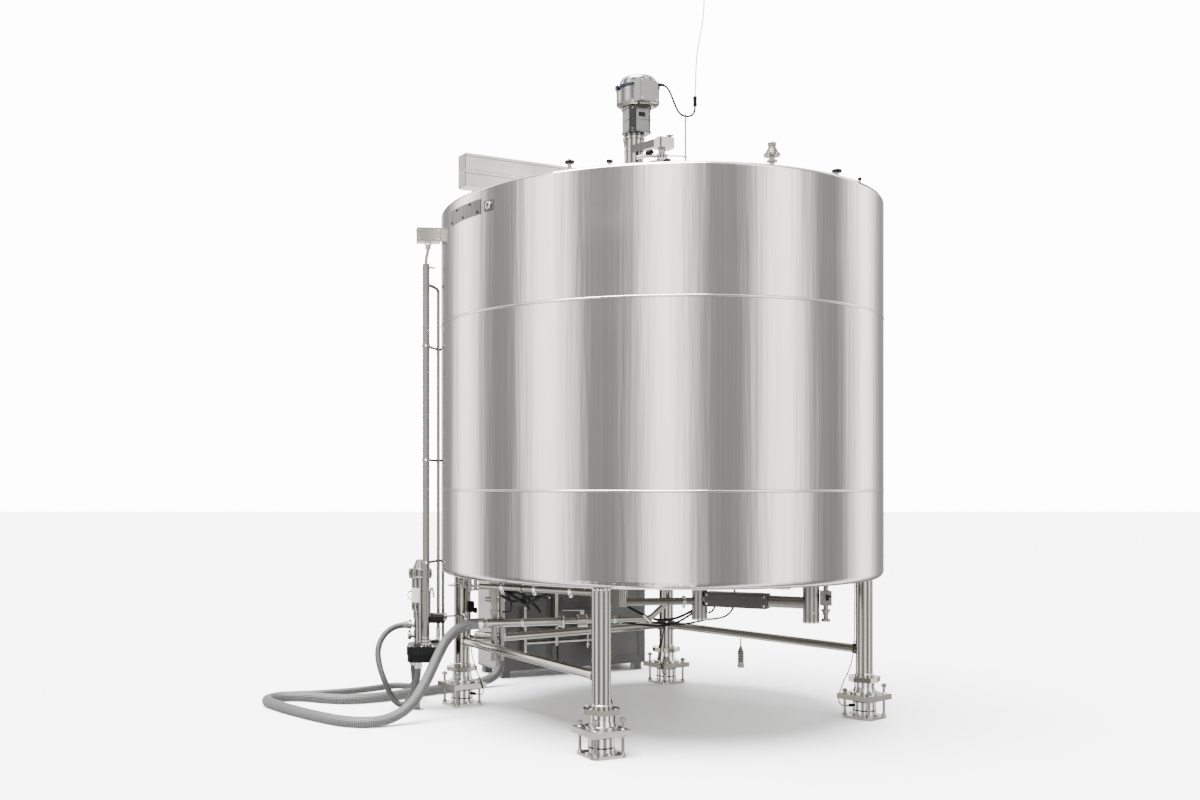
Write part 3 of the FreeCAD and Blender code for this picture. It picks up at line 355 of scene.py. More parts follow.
add_cord("motor_conduit_tube", [(0.008, -0.08, 4.352), (0.046, -0.08, 4.352), (0.082, -0.07, 4.306),
    (0.112, -0.058, 4.232), (0.145, -0.05, 4.166), (0.191, -0.05, 4.14), (0.236, -0.052, 4.148),
    (0.256, -0.055, 4.18), (0.256, -0.055, 4.212)], 0.015, RUBBER, "motor_conduit", "rubber_black", 16,
    far_end="connector", stiffness="medium", lay="hanging", with_pieces=[NODES["conduit_connector"]])
add_cord("supply_cable_sheath", [(0.256, -0.055, 4.28), (0.259, -0.055, 4.35), (0.262, -0.055, 4.45),
    (0.268, -0.054, 4.57), (0.29, -0.052, 4.69), (0.312, -0.05, 4.8), (0.32, -0.05, 4.92),
    (0.322, -0.05, 5.075)], 0.008, GREY, "supply_cable", "rubber_black", 12, far_end="fitting",
    stiffness="medium", lay="taut", with_pieces=[NODES["ceiling_fitting"]])


# ------------------------------------------------------------ pieces
def about_z(degrees):
    return Matrix.Rotation(math.radians(degrees), 3, "Z")


def polar(radius, degrees, level=0.0):
    return Vector((radius * math.cos(math.radians(degrees)), radius * math.sin(math.radians(degrees)),
        level))


def cut_corners(x, y, cut):
    """The outline of a rectangle of half sizes x and y with its corners cut off."""
    return [(x - cut, -y), (x, -y + cut), (x, y - cut), (x - cut, y), (-x + cut, y), (-x, y - cut),
        (-x, -y + cut), (-x + cut, -y)]


class Piece:
    """One named piece, gathered from turned, extruded and bent shapes, in metres."""

    def __init__(self, name, material, slot, body="tank"):
        self.name, self.material, self.slot, self.body = name, material, slot, body
        self.made = bmesh.new()

    def turned(self, profile, place, axis=UP, sides=32):
        """A profile of (radius, height) points turned about an axis through place."""
        turn = UP.rotation_difference(Vector(axis))
        rings = []
        for radius, height in profile:
            rings.append([self.made.verts.new(Vector(place) + turn @ Vector((
                radius * math.cos(math.tau * step / sides),
                radius * math.sin(math.tau * step / sides), height))) for step in range(sides)])
        closed = profile[0] == profile[-1]
        self.skin(rings, capped=not closed)
        if closed:
            bmesh.ops.remove_doubles(self.made, verts=rings[0] + rings[-1], dist=1e-6)
        return self

    def skin(self, rings, capped=True):
        """Faces from each ring of vertices to the next, and a cap at each end."""
        count = len(rings[0])
        for low, high in zip(rings, rings[1:]):
            for step in range(count):
                after = (step + 1) % count
                self.made.faces.new((low[step], low[after], high[after], high[step]))
        if capped:
            self.made.faces.new(list(reversed(rings[0])))
            self.made.faces.new(rings[-1])
        return self

    def band(self, inner, outer, height, place, axis=UP, sides=32):
        """A flat band round an axis, with a 1 mm slope at each end."""
        return self.turned([(inner, 0), (outer, 0.001), (outer, height - 0.001), (inner, height)], place,
            axis, sides)

    def disc(self, place, radius, height, axis=UP, edge=0.0015, sides=32):
        """A round plate with softened edges."""
        edge = min(edge, height / 3, radius / 3)
        return self.turned([(radius - edge, 0), (radius, edge), (radius, height - edge),
            (radius - edge, height)], place, axis, sides)

    def prism(self, outline, place, height, turn=None, edge=0.001):
        """A flat outline extruded along local Z, with small chamfers at both ends."""
        turn = turn or Matrix.Identity(3)
        middle = sum((Vector(point) for point in outline), Vector((0, 0))) / len(outline)
        rings = []
        for level, inset in ((0, edge), (edge, 0), (height - edge, 0), (height, edge)):
            ring = []
            for point in outline:
                spot = Vector(point) + (middle - Vector(point)).normalized() * inset * 1.4
                ring.append(self.made.verts.new(Vector(place) + turn @ Vector((spot.x, spot.y, level))))
            rings.append(ring)
        return self.skin(rings)

    def block(self, size, place, degrees=0.0, turn=None, edge=0.0015):
        """A box with its corners and edges softened, centred on place."""
        x, y, z = (part / 2 for part in size)
        cut = min(edge * 1.5, x / 3, y / 3)
        turn = turn or about_z(degrees)
        return self.prism(cut_corners(x, y, cut), Vector(place) - turn @ Vector((0, 0, z)), size[2], turn,
            min(edge, z / 2))

    def bolt(self, place, across, height, axis=UP, washer=True):
        """A hexagon head on its washer."""
        turn = UP.rotation_difference(Vector(axis)).to_matrix()
        if washer:
            self.disc(place, across * 0.72, height * 0.22, axis, 0.0004, 20)
        head = [(across * 0.577 * math.cos(math.radians(angle)),
                 across * 0.577 * math.sin(math.radians(angle))) for angle in range(0, 360, 60)]
        base = Vector(place) + turn @ Vector((0, 0, height * 0.2))
        return self.prism(head, base, height * 0.8, turn, height * 0.08)

    def bent(self, route, radius, sides=14):
        """A round bar or pipe along the smooth line of a route."""
        return self.skin(tube_rings(self.made, spline_points(route), radius, sides))

    def rod(self, start, end, radius, sides=16):
        start, end = Vector(start), Vector(end)
        edge = min(radius * 0.3, 0.001)
        length = (end - start).length
        return self.turned([(radius - edge, 0), (radius, edge), (radius, length - edge),
            (radius - edge, length)], start, end - start, sides)

    def clamp(self, place, radius, axis, wing=(0, 0, 1)):
        """A two-part pipe clamp over two ferrules, with its wing nut."""
        axis = Vector(axis).normalized()
        self.turned([(radius * 0.8, -0.014), (radius, -0.011), (radius + 0.009, -0.006),
            (radius + 0.01, 0), (radius + 0.009, 0.006), (radius, 0.011), (radius * 0.8, 0.014)], place,
            axis, 40)
        lug = Vector(place) + Vector(wing).normalized() * (radius + 0.013)
        self.rod(lug - axis.cross(Vector(wing)).normalized() * 0.014,
            lug + axis.cross(Vector(wing)).normalized() * 0.026, 0.0035, 10)
        self.block((0.018, 0.006, 0.01), lug, 20)
        return self

    def done(self, angle=38):
        bmesh.ops.recalc_face_normals(self.made, faces=self.made.faces[:])
        mesh = bpy.data.meshes.new(self.name)
        for face in self.made.faces:
            face.smooth = True
        self.made.to_mesh(mesh)
        self.made.free()
        mesh.set_sharp_from_angle(angle=math.radians(angle))
        mesh.materials.append(self.material)
        item = bpy.data.objects.new(self.name, mesh)
        bpy.context.collection.objects.link(item)
        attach(item, self.body)
        return item


# ------------------------------------------------------------ jacket
seams = Piece("jacket_weld_seams", BRIGHT, "steel")
for seam_level in (1.56, 2.687):
    seams.turned([(1.4985, -0.007), (1.5005, -0.006), (1.5022, -0.0035), (1.503, 0), (1.5022, 0.0035),
        (1.5005, 0.006), (1.4985, 0.007)], (0, 0, seam_level), UP, 180)
for low, high, seam_angle in ((0.995, 1.555, 42), (1.565, 2.682, 118), (2.692, 3.445, 72)):
    seams.rod(polar(1.4995, seam_angle, low + 0.03), polar(1.4995, seam_angle, high - 0.01), 0.003)
seams.done()
shade = Piece("jacket_seam_shade", DARK_STEEL, "steel")
for seam_level in (1.56, 2.687):
    for offset in (-0.0085, 0.0085):
        shade.turned([(1.499, -0.0012), (1.5006, -0.001), (1.5006, 0.001), (1.499, 0.0012)],
            (0, 0, seam_level + offset), UP, 180)
shade.done()
strip = Piece("jacket_rating_strip", DULL, "steel")
for index in range(8):
    first, second = -161 + index * 2, -161 + index * 2 + 1.94
    middle_angle = (first + second) / 2
    strip.block((0.0055, 0.051, 0.094), polar(1.5025, middle_angle, 3.34), middle_angle)
strip.block((0.006, 0.088, 0.066), polar(1.5025, -141.8, 3.33), -141.8)
strip.done()
screws = Piece("rating_strip_screws", BLACK, "black_plastic")
for index in range(5):
    spot = polar(1.5052, -160.2 + index * 3.5, 3.373 if index % 2 else 3.308)
    screws.disc(spot, 0.008, 0.004, spot * Vector((1, 1, 0)), 0.0008, 14)
screws.done()
port = Piece("jacket_sight_ring", BRIGHT, "steel")
port.turned([(0.014, 0), (0.024, 0), (0.025, 0.005), (0.019, 0.009), (0.014, 0.009), (0.014, 0)],
    polar(1.5055, -141.8, 3.33), polar(1, -141.8), 28)
port.done()

# ------------------------------------------------------------ motor and gearbox
MOTOR_AT, SHAFT_AT = Vector((-0.132, 0, 0)), Vector((-0.16, 0, 0))
strap = Piece("motor_strap", BLUE, "black_plastic")
strap.turned([(0.1275, 0.0), (0.15, 0.0), (0.1525, 0.003), (0.1525, 0.019), (0.15, 0.022), (0.1275, 0.022),
     (0.1275, 0.0)], MOTOR_AT + UP * 4.334, UP, 64)
strap.block((0.02, 0.03, 0.03), MOTOR_AT + polar(0.157, 196, 4.343), 196, edge=0.003)
strap.rod(MOTOR_AT + polar(0.166, 205, 4.334), MOTOR_AT + polar(0.166, 187, 4.334), 0.0035)
strap.done()
lid = Piece("motor_cap_fixings", BRIGHT, "steel")
lid.band(0.1265, 0.1282, 0.005, MOTOR_AT + UP * 4.372, UP, 64)
lid.rod(MOTOR_AT + Vector((-0.048, 0, 4.4225)), MOTOR_AT + Vector((-0.048, 0, 4.444)), 0.004)
lid.disc(MOTOR_AT + Vector((-0.048, 0, 4.4235)), 0.009, 0.004)
for angle in (60, 150, 240, 330):
    lid.bolt(MOTOR_AT + polar(0.072, angle, 4.4235), 0.013, 0.008)
lid.done()
lower_band = Piece("motor_lower_bands", DARK_STEEL, "steel")
for level in (4.2385, 4.3105):
    lower_band.band(0.1472, 0.1492, 0.005, MOTOR_AT + UP * level, UP, 64)
lower_band.done()
box_turn = about_z(30.6)
terminal = Vector((-0.102, -0.117, 4.215))
cover_lid = Piece("terminal_box_lid", MOTOR, "steel")
cover_lid.block((0.151, 0.006, 0.138), terminal + box_turn @ Vector((0, -0.0525, 0.075)), turn=box_turn)
cover_lid.block((0.12, 0.086, 0.003), terminal + box_turn @ Vector((0.014, 0, 0.1515)), turn=box_turn)
cover_lid.done()
lid_screws = Piece("terminal_box_screws", BRIGHT, "steel")
for x in (-0.066, 0.066):
    for z in (0.014, 0.136):
        lid_screws.disc(terminal + box_turn @ Vector((x, -0.055, z)), 0.0055, 0.004,
            box_turn @ Vector((0, -1, 0)), 0.001, 16)
lid_screws.done()
gland = Piece("motor_cable_gland", BLACK, "black_plastic")
gland.turned([(0.0105, -0.012), (0.0155, -0.012), (0.016, -0.01), (0.016, 0.0), (0.0125, 0.004),
    (0.0105, 0.02), (0.0088, 0.034), (0.0079, 0.038)], (0.002, -0.08, 4.352), (1, 0, 0), 28)
gland.done()
gear_turn = about_z(22)
gear_at = Vector((-0.142, 0, 0))
gear_lid = Piece("gearbox_split_flange", GEAR, "steel")
for half, corner, level, thick, edge in ((0.091, 0.04, 4.196, 0.017, 0.0015), (0.088, 0.038, 4.1155,
        0.0035, 0.0008), (0.089, 0.039, 4.034, 0.014, 0.0015)):
    gear_lid.prism(cut_corners(half, half, corner), gear_at + UP * level, thick, gear_turn, edge)
gear_lid.turned([(0.055, 0), (0.07, 0.002), (0.073, 0.01), (0.073, 0.023), (0.055, 0.024), (0.055, 0)],
    SHAFT_AT + UP * 4.0065, UP, 40)
gear_lid.done()
gear_bolts = Piece("gearbox_bolts", DARK_STEEL, "steel")
for index in range(4):
    corner = gear_at + gear_turn @ polar(0.094, 45 + 90 * index)
    gear_bolts.bolt(corner + UP * 4.196, 0.014, 0.008, (0, 0, -1))
    gear_bolts.bolt(corner + UP * 4.048, 0.012, 0.007)
gear_bolts.bolt(gear_at + gear_turn @ Vector((0.087, 0.02, 4.125)), 0.026, 0.014,
    gear_turn @ Vector((1, 0, 0)))
gear_bolts.rod(gear_at + gear_turn @ Vector((0.095, 0.02, 4.125)), gear_at + gear_turn @ Vector((0.108,
    0.02, 4.135)), 0.006)
gear_bolts.done()
gear_plate = Piece("gearbox_plate", RUBBER, "black_plastic")
gear_plate.block((0.05, 0.003, 0.03), gear_at + gear_turn @ Vector((-0.004, -0.0865, 4.15)),
    turn=gear_turn, edge=0.0008)
gear_plate.rod(gear_at + gear_turn @ Vector((0.086, 0.0, 4.085)), gear_at + gear_turn @ Vector((0.104, 0.0,
     4.085)), 0.011)
gear_plate.done()
flange_bolts = Piece("pedestal_flange_bolts", DARK_STEEL, "steel")
for index in range(8):
    spot = SHAFT_AT + polar(0.068, 22.5 + index * 45)
    if index not in (5, 6):
        flange_bolts.bolt(spot + UP * 3.991, 0.013, 0.012, (0, 0, -1))
        flange_bolts.rod(spot + UP * 3.945, spot + UP * 3.98, 0.004)
    flange_bolts.bolt(SHAFT_AT + polar(0.107, 22.5 + index * 45, 3.615), 0.015, 0.01)
flange_bolts.done()
pedestal_rings = Piece("pedestal_bands", STEEL, "steel")
pedestal_rings.band(0.0655, 0.0695, 0.01, SHAFT_AT + UP * 3.905, UP, 48)
pedestal_rings.turned([(0.0655, 0), (0.0715, 0.002), (0.0675, 0.01), (0.0655, 0.018)],
    SHAFT_AT + UP * 3.6155, UP, 48)
pedestal_rings.done()

# ------------------------------------------------------------ level arm and roof fittings
arm = Piece("level_arm_fixings", BRIGHT, "steel")
arm_turn = Matrix.Rotation(math.atan2(-0.157, 0.14), 3, "Z")
arm.block((0.15, 0.034, 0.003), (-0.075, -0.15, 3.9435), turn=arm_turn)
arm.block((0.105, 0.08, 0.003), (0.017, -0.215, 3.9455), 25)
for x, y in ((-0.03, -0.25), (0.058, -0.208), (0.062, -0.176), (-0.026, -0.222)):
    arm.bolt((x, y, 3.9445), 0.01, 0.007)
arm.clamp((0.002, -0.215, 3.806), 0.026, (0, 0, 1), (1, -0.6, 0))
arm.turned([(0.017, 0), (0.03, 0.001), (0.03, 0.006), (0.02, 0.018), (0.017, 0.02)],
    (0.002, -0.215, 3.7695), UP, 32)
arm.rod((0.057, -0.205, 3.9665), (0.057, -0.205, 3.974), 0.008)
arm.done()
arm_pipe = Piece("level_arm_pipework", STEEL, "steel")
arm_pipe.bent(((-0.15, -0.11, 3.842), (-0.12, -0.128, 3.846), (-0.07, -0.162, 3.846),
    (-0.02, -0.196, 3.83), (-0.01, -0.205, 3.826)), 0.015, 16)
arm_pipe.bent(((-0.095, -0.075, 3.7), (-0.092, -0.09, 3.775), (-0.08, -0.118, 3.802),
    (-0.048, -0.16, 3.804), (-0.022, -0.196, 3.792)), 0.01, 14)
arm_pipe.done()
arm_black = Piece("level_arm_glands", BLACK, "black_plastic")
arm_black.rod((-0.088, -0.148, 3.86), (-0.058, -0.18, 3.86), 0.021)
arm_black.rod((0.02, -0.222, 3.795), (0.062, -0.222, 3.795), 0.012)
arm_black.turned([(0.0065, 0), (0.0135, 0.001), (0.0135, 0.01), (0.0085, 0.016), (0.0065, 0.018)],
    (0.057, -0.205, 3.9435), UP, 20)
arm_black.block((0.03, 0.004, 0.016), (-0.07, -0.1785, 3.918), turn=arm_turn)
arm_black.done()
rod_ends = Piece("cable_rod_collars", BRIGHT, "steel")
rod_ends.turned([(0.006, 0), (0.011, 0.001), (0.011, 0.012), (0.006, 0.016)], (0.191, -0.05, 3.86), UP, 20)
rod_ends.turned([(0.006, 0), (0.0095, 0.001), (0.0095, 0.01), (0.006, 0.012)], (0.191, -0.05, 4.112), UP, 20)
for angle in (45, 135, 225, 315):
    rod_ends.bolt(Vector((0.191, -0.05, 3.6095)) + polar(0.015, angle), 0.006, 0.004)
rod_ends.done()
caps = Piece("roof_stub_caps", BLACK, "black_plastic")
for x, y, cap, top in ((-0.677, -0.9, 0.031, 3.607), (-0.427, -0.9, 0.022, 3.612),
        (1.017, -0.8, 0.032, 3.577), (1.161, -0.8, 0.013, 3.527)):
    caps.turned([(cap - 0.003, -0.011), (cap, -0.009), (cap, 0.003), (cap - 0.004, 0.007),
        (cap * 0.4, 0.009)], (x, y, top), UP, 28)
caps.rod((-0.677, -0.9, 3.614), (-0.677, -0.9, 3.624), 0.009)
caps.disc((0.584, -0.9, 3.7155), 0.028, 0.01, edge=0.003)
caps.done()
vent = Piece("vent_fins", STEEL, "steel")
for level, radius in ((3.6585, 0.044), (3.67, 0.038), (3.6815, 0.032), (3.693, 0.027)):
    vent.turned([(0.016, 0), (radius - 0.003, 0), (radius, 0.003), (radius - 0.003, 0.006), (0.016, 0.006),
         (0.016, 0)], (0.584, -0.9, level), UP, 32)
for angle in (30, 120, 210, 300):
    vent.bolt(Vector((0.584, -0.9, 3.6145)) + polar(0.026, angle), 0.009, 0.006)
vent.done()

# ------------------------------------------------------------ seat valve
VALVE_AT, WAY_OUT = Vector((-1.655, 0.2, 0)), Vector((-1, 0, 0))
shroud = Piece("valve_lantern_shroud", VALVE, "steel")
shroud.turned([(0.046, 0.6575), (0.05, 0.6575), (0.051, 0.66), (0.051, 0.699), (0.05, 0.702),
    (0.046, 0.702), (0.046, 0.6575)], VALVE_AT, UP, 48)
for profile in ([(0.0615, 0.752), (0.065, 0.7535), (0.065, 0.761), (0.0615, 0.763)],
        [(0.0615, 0.87), (0.064, 0.871), (0.064, 0.92), (0.0615, 0.923)], [(0.0795, 0.932), (0.083, 0.935),
         (0.083, 0.942), (0.0795, 0.945)], [(0.0795, 0.985), (0.083, 0.988), (0.083, 0.996),
        (0.077, 1.0)]):
    shroud.turned(profile, VALVE_AT, UP, 48)
for angle in range(0, 360, 30):
    shroud.rod(VALVE_AT + polar(0.0808, angle, 0.946), VALVE_AT + polar(0.0808, angle, 0.984), 0.0035, 10)
shroud.turned([(0.03, 1.056), (0.03, 1.06), (0.018, 1.064), (0.01, 1.0645)], VALVE_AT, UP, 32)
shroud.clamp(VALVE_AT + Vector((-0.0725, 0, 0.597)), 0.02, WAY_OUT, (0, 0, 1))
shroud.clamp(VALVE_AT + Vector((-0.0765, 0, 0.522)), 0.02, WAY_OUT, (0, 0, 1))
shroud.disc(VALVE_AT + Vector((-0.078, 0, 0.522)), 0.022, 0.009, WAY_OUT, 0.003)
for level in (0.542, 0.47):
    shroud.turned([(0.0445, 0), (0.0485, 0.002), (0.0485, 0.01), (0.0445, 0.012)], VALVE_AT + UP * level,
        UP, 40)
shroud.done()
label = Piece("valve_blank_band", WHITE, "grey_plastic")
for index in range(9):
    angle = -176 + index * 10
    label.block((0.0022, 0.0112, 0.104), VALVE_AT + polar(0.0627, angle, 0.812), angle, edge=0.0004)
label.done()
valve_dark = Piece("valve_fittings", BLACK, "black_plastic")
for angle in (-150, -110, -70, 150):
    valve_dark.block((0.004, 0.01, 0.026), VALVE_AT + polar(0.0625, angle, 0.733), angle, edge=0.001)
    valve_dark.block((0.004, 0.012, 0.01), VALVE_AT + polar(0.0505, angle, 0.68), angle, edge=0.001)
valve_dark.rod(VALVE_AT + Vector((-0.06, -0.012, 0.836)), VALVE_AT + Vector((-0.078, -0.018, 0.836)), 0.005)
valve_dark.bent([VALVE_AT + Vector(point) for point in (
    (-0.076, -0.018, 0.836), (-0.09, -0.02, 0.826), (-0.086, -0.02, 0.796),
    (-0.076, -0.018, 0.78), (-0.062, -0.014, 0.778))], 0.0035, 10)
valve_dark.rod(VALVE_AT + Vector((0.058, -0.02, 0.735)), VALVE_AT + Vector((0.058, -0.02, 0.665)), 0.005)
valve_dark.disc(VALVE_AT + Vector((0.038, -0.03, 0.61)), 0.01, 0.008, (0.6, -0.8, 0), 0.002)
valve_dark.done()
riser_rings = Piece("riser_base_rings", BRIGHT, "steel")
for level, radius in ((0.4752, 0.034), (0.495, 0.03), (0.518, 0.0285)):
    riser_rings.turned([(0.0245, 0), (radius, 0.0012), (radius, 0.0085), (0.0245, 0.01)],
        (-1.609, 0.08, level), UP, 40)
riser_rings.bent(((-1.53, 0.3, 0.56), (-1.53, 0.3, 0.515), (-1.534, 0.298, 0.486), (-1.556, 0.292, 0.474),
    (-1.59, 0.284, 0.472)), 0.0155, 16)
riser_rings.band(0.012, 0.019, 0.013, (-1.53, 0.3, 0.552), UP, 28)
riser_rings.done()
riser_stubs = Piece("riser_small_pipes", VALVE, "steel")
riser_stubs.rod((-1.586, 0.083, 3.12), (-1.546, 0.09, 3.12), 0.007)
riser_stubs.bent(((-1.53, 0.3, 2.96), (-1.53, 0.3, 2.985), (-1.536, 0.286, 3.0), (-1.556, 0.2, 3.002),
    (-1.592, 0.11, 3.002), (-1.6, 0.096, 3.002)), 0.0115, 14)
riser_stubs.bent(((-1.583, 0.11, 0.655), (-1.583, 0.11, 0.79), (-1.58, 0.111, 0.85), (-1.57, 0.114, 0.872),
     (-1.56, 0.118, 0.85), (-1.557, 0.12, 0.8)), 0.0058, 12)
riser_stubs.done()
tray = Piece("tray_lining", BLACK, "black_plastic")
tray.block((0.118, 0.082, 0.02), (-1.535, 0.128, 0.631), -6, edge=0.004)
tray.block((0.1, 0.006, 0.03), (-1.535, 0.082, 0.652), -6, edge=0.002)
tray.done()
tray_bolts = Piece("tray_bolts", BRIGHT, "steel")
tray_bolts.bolt((-1.356, 0.305, 0.658), 0.016, 0.01)
tray_bolts.bolt((-1.478, 0.15, 0.668), 0.014, 0.008)
tray_bolts.disc((-1.35, 0.3, 0.64), 0.018, 0.018, (1, 1, 0))
tray_bolts.done()
fins = Piece("hose_block_ribs", BLACK, "black_plastic")
for index in range(11):
    x = -1.714 + index * 0.018
    fins.block((0.006, 0.006, 0.088), (x, 0.0345, 0.3985), edge=0.0012)
for y in (0.075, 0.12, 0.165, 0.21, 0.255):
    fins.block((0.006, 0.006, 0.088), (-1.7378, y, 0.3985), edge=0.0012)
fins.done()
block_screws = Piece("hose_block_screws", BRIGHT, "steel")
for x, y in ((-1.722, 0.052), (-1.64, 0.046), (-1.56, 0.046), (-1.526, 0.15), (-1.722, 0.298),
        (-1.526, 0.298)):
    block_screws.disc((x, y, 0.4605), 0.008, 0.005, edge=0.0015)
block_screws.done()
sockets = Piece("hose_block_ferrules", BRIGHT, "steel")
for x, y, radius in ((-1.706, 0.262, 0.0235), (-1.664, 0.104, 0.0215)):
    sockets.turned([(radius + 0.0005, 0.3), (radius + 0.005, 0.303), (radius + 0.006, 0.32),
        (radius + 0.006, 0.349), (radius + 0.0005, 0.3495)], (x, y, 0), UP, 36)
sockets.done()

# ------------------------------------------------------------ under the tank
link_way = Vector((0.666, -0.35, 0)).normalized()
link_turn = Matrix.Rotation(math.atan2(link_way.y, link_way.x), 3, "Z")
duct_at = Vector((0.271, -0.15, 0.82)) + link_way * 0.262
duct = Piece("underside_cable_duct", CABINET, "cabinet_dark")
duct.block((0.424, 0.116, 0.1), duct_at, turn=link_turn, edge=0.004)
duct.block((0.404, 0.006, 0.012), duct_at + link_turn @ Vector((0, -0.06, 0.03)), turn=link_turn)
duct.done()
duct_ends = Piece("underside_duct_fixings", BRIGHT, "steel")
for along in (-0.195, 0.195):
    duct_ends.bolt(duct_at + link_turn @ Vector((along, -0.058, 0.03)), 0.011, 0.006, (0, -1, 0))
    duct_ends.bolt(duct_at + link_turn @ Vector((along, -0.058, -0.03)), 0.011, 0.006, (0, -1, 0))
duct_ends.clamp((0.271, -0.15, 0.935), 0.054, (0, 0, 1), (-1, -0.6, 0))
duct_ends.clamp((0.937, -0.5, 0.945), 0.054, (0, 0, 1), (-1, -0.6, 0))
duct_ends.clamp((0.16, -0.163, 0.8), 0.03, (1, 0.12, 0), (0, 0, -1))
duct_ends.band(0.053, 0.0555, 0.011, (0.271, -0.15, 0.6745), UP, 40)
duct_ends.band(0.053, 0.0555, 0.011, (0.937, -0.5, 0.6915), UP, 40)
duct_ends.disc((0.271, -0.15, 0.6715), 0.04, 0.004)
duct_ends.disc((0.937, -0.5, 0.6885), 0.04, 0.004)
duct_ends.bolt((0.937, -0.555, 0.76), 0.012, 0.008, (0, -1, 0))
duct_ends.done()
bracket = Piece("rim_bracket", WHITE, "zinc")
bracket.block((0.205, 0.03, 0.04), (0.61, -0.86, 0.964), -35, edge=0.003)
bracket.done()
# A black plate in place of the bracket's window: painted shade for the opening.
bracket_hole_shade = Piece("rim_bracket_window_shade", BLACK, "black_plastic")
bracket_hole_shade.block((0.03, 0.004, 0.016), (0.598, -0.871, 0.964), -35)
bracket_hole_shade.done()
cables = Piece("underside_cables", RUBBER, "rubber_black")
cables.bent(((-1.06, -0.4, 0.88), (-0.99, -0.44, 0.85), (-0.93, -0.47, 0.8), (-0.86, -0.5, 0.85),
    (-0.78, -0.54, 0.885)), 0.011, 10)
cables.bent(((-1.09, -0.38, 0.86), (-1.02, -0.41, 0.81), (-0.95, -0.44, 0.84), (-0.88, -0.48, 0.87),
    (-0.8, -0.52, 0.855)), 0.009, 10)
cables.bent(((-1.1, -0.36, 0.9), (-1.04, -0.39, 0.875), (-0.97, -0.43, 0.89), (-0.9, -0.47, 0.83),
    (-0.85, -0.5, 0.78), (-0.838, -0.508, 0.755)), 0.01, 10)
cables.bent(((-1.07, -0.39, 0.895), (-1.03, -0.4, 0.83), (-1.02, -0.405, 0.78), (-1.04, -0.395, 0.745),
    (-1.08, -0.375, 0.75)), 0.007, 10)
cables.bent(((-0.96, -0.43, 0.9), (-0.945, -0.44, 0.845), (-0.925, -0.45, 0.8), (-0.905, -0.455, 0.77)),
    0.008, 10)
cables.bent(((-0.17, 0.26, 0.72), (-0.06, 0.23, 0.66), (0.05, 0.21, 0.625), (0.16, 0.19, 0.64),
    (0.26, 0.17, 0.69), (0.33, 0.15, 0.74)), 0.009, 10)
cables.bent(((-0.3, 0.3, 0.64), (-0.18, 0.27, 0.6), (-0.05, 0.24, 0.59), (0.08, 0.21, 0.585),
    (0.2, 0.19, 0.62), (0.3, 0.17, 0.7)), 0.008, 10)
cables.bent(((-0.28, 0.31, 0.61), (-0.16, 0.28, 0.64), (-0.02, 0.25, 0.61), (0.12, 0.22, 0.6),
    (0.24, 0.19, 0.6), (0.38, 0.16, 0.64)), 0.007, 10)
cables.bent(((0.33, 0.15, 0.74), (0.35, 0.14, 0.8), (0.33, 0.14, 0.88), (0.3, 0.15, 0.96)), 0.009, 10)
cables.bent(((0.38, 0.16, 0.64), (0.47, 0.12, 0.65), (0.53, 0.09, 0.69), (0.56, 0.08, 0.76),
    (0.56, 0.08, 0.85), (0.55, 0.08, 0.96)), 0.007, 10)
cables.bent(((0.325, -0.17, 0.72), (0.352, -0.172, 0.73), (0.372, -0.174, 0.765), (0.372, -0.174, 0.8),
    (0.352, -0.172, 0.84)), 0.0065, 10)
cables.done()
trunk_pipes = Piece("underside_down_pipes", DARK_STEEL, "steel_dull")
trunk_pipes.rod((-1.13, 0.08, 0.36), (-1.13, 0.08, 0.985), 0.023)
trunk_pipes.rod((-1.08, 0.1, 0.36), (-1.08, 0.1, 0.985), 0.018)
trunk_pipes.rod((-1.19, 0.2, 0.78), (-1.06, 0.12, 0.78), 0.016)
trunk_pipes.rod((-1.26, 0.24, 0.52), (-1.06, 0.13, 0.52), 0.03)
trunk_pipes.band(0.023, 0.031, 0.015, (-1.13, 0.08, 0.7), UP, 32)
trunk_pipes.band(0.018, 0.025, 0.015, (-1.08, 0.1, 0.64), UP, 32)
trunk_pipes.bent(((-1.33, 0.3, 0.68), (-1.33, 0.3, 0.78), (-1.328, 0.3, 0.83), (-1.316, 0.298, 0.846),
    (-1.304, 0.296, 0.83), (-1.302, 0.296, 0.7)), 0.009, 14)
trunk_pipes.done()
side_box = Piece("leg_side_box", BLACK, "black_plastic")
side_box.block((0.044, 0.04, 0.08), (-1.294, 0.3, 0.717), 12, edge=0.003)
side_box.block((0.026, 0.02, 0.04), (-1.262, 0.296, 0.69), 12, edge=0.003)
side_box.done()
under_rim = Piece("rim_small_fittings", DARK_STEEL, "steel_dull")
for x, y, low in ((-1.374, 0.03, 0.905), (-1.34, -0.04, 0.885), (-1.3, -0.12, 0.87), (-1.262, -0.19, 0.88)):
    under_rim.rod((x, y, low), (x, y, 0.998), 0.014)
    under_rim.disc((x, y, low - 0.004), 0.021, 0.014)
    under_rim.rod((x, y, low + 0.03), (x + 0.03, y - 0.05, low + 0.03), 0.008)
under_rim.done()
pipe_way = Vector((0.732, -0.503, 0)).normalized()
outlet_from, outlet_way = Vector((-1.198, -0.02, 0.631)), Vector((1.198, 0.02, 0.037)).normalized()
unions = Piece("pipe_unions", BRIGHT, "steel")
for share in (0.2, 0.48, 0.78):
    unions.clamp(Vector((-1.232, -0.396, 0.922)) + Vector((0.732, -0.503, 0)) * share, 0.021, pipe_way,
        (0, 0, -1))
for distance, radius in ((0.02, 0.03), (0.262, 0.0275), (0.905, 0.0225)):
    unions.turned([(radius * 0.8, -0.01), (radius, -0.009), (radius + 0.003, -0.005),
        (radius + 0.003, 0.005), (radius, 0.009), (radius * 0.8, 0.01)],
        outlet_from + outlet_way * distance, outlet_way, 40)
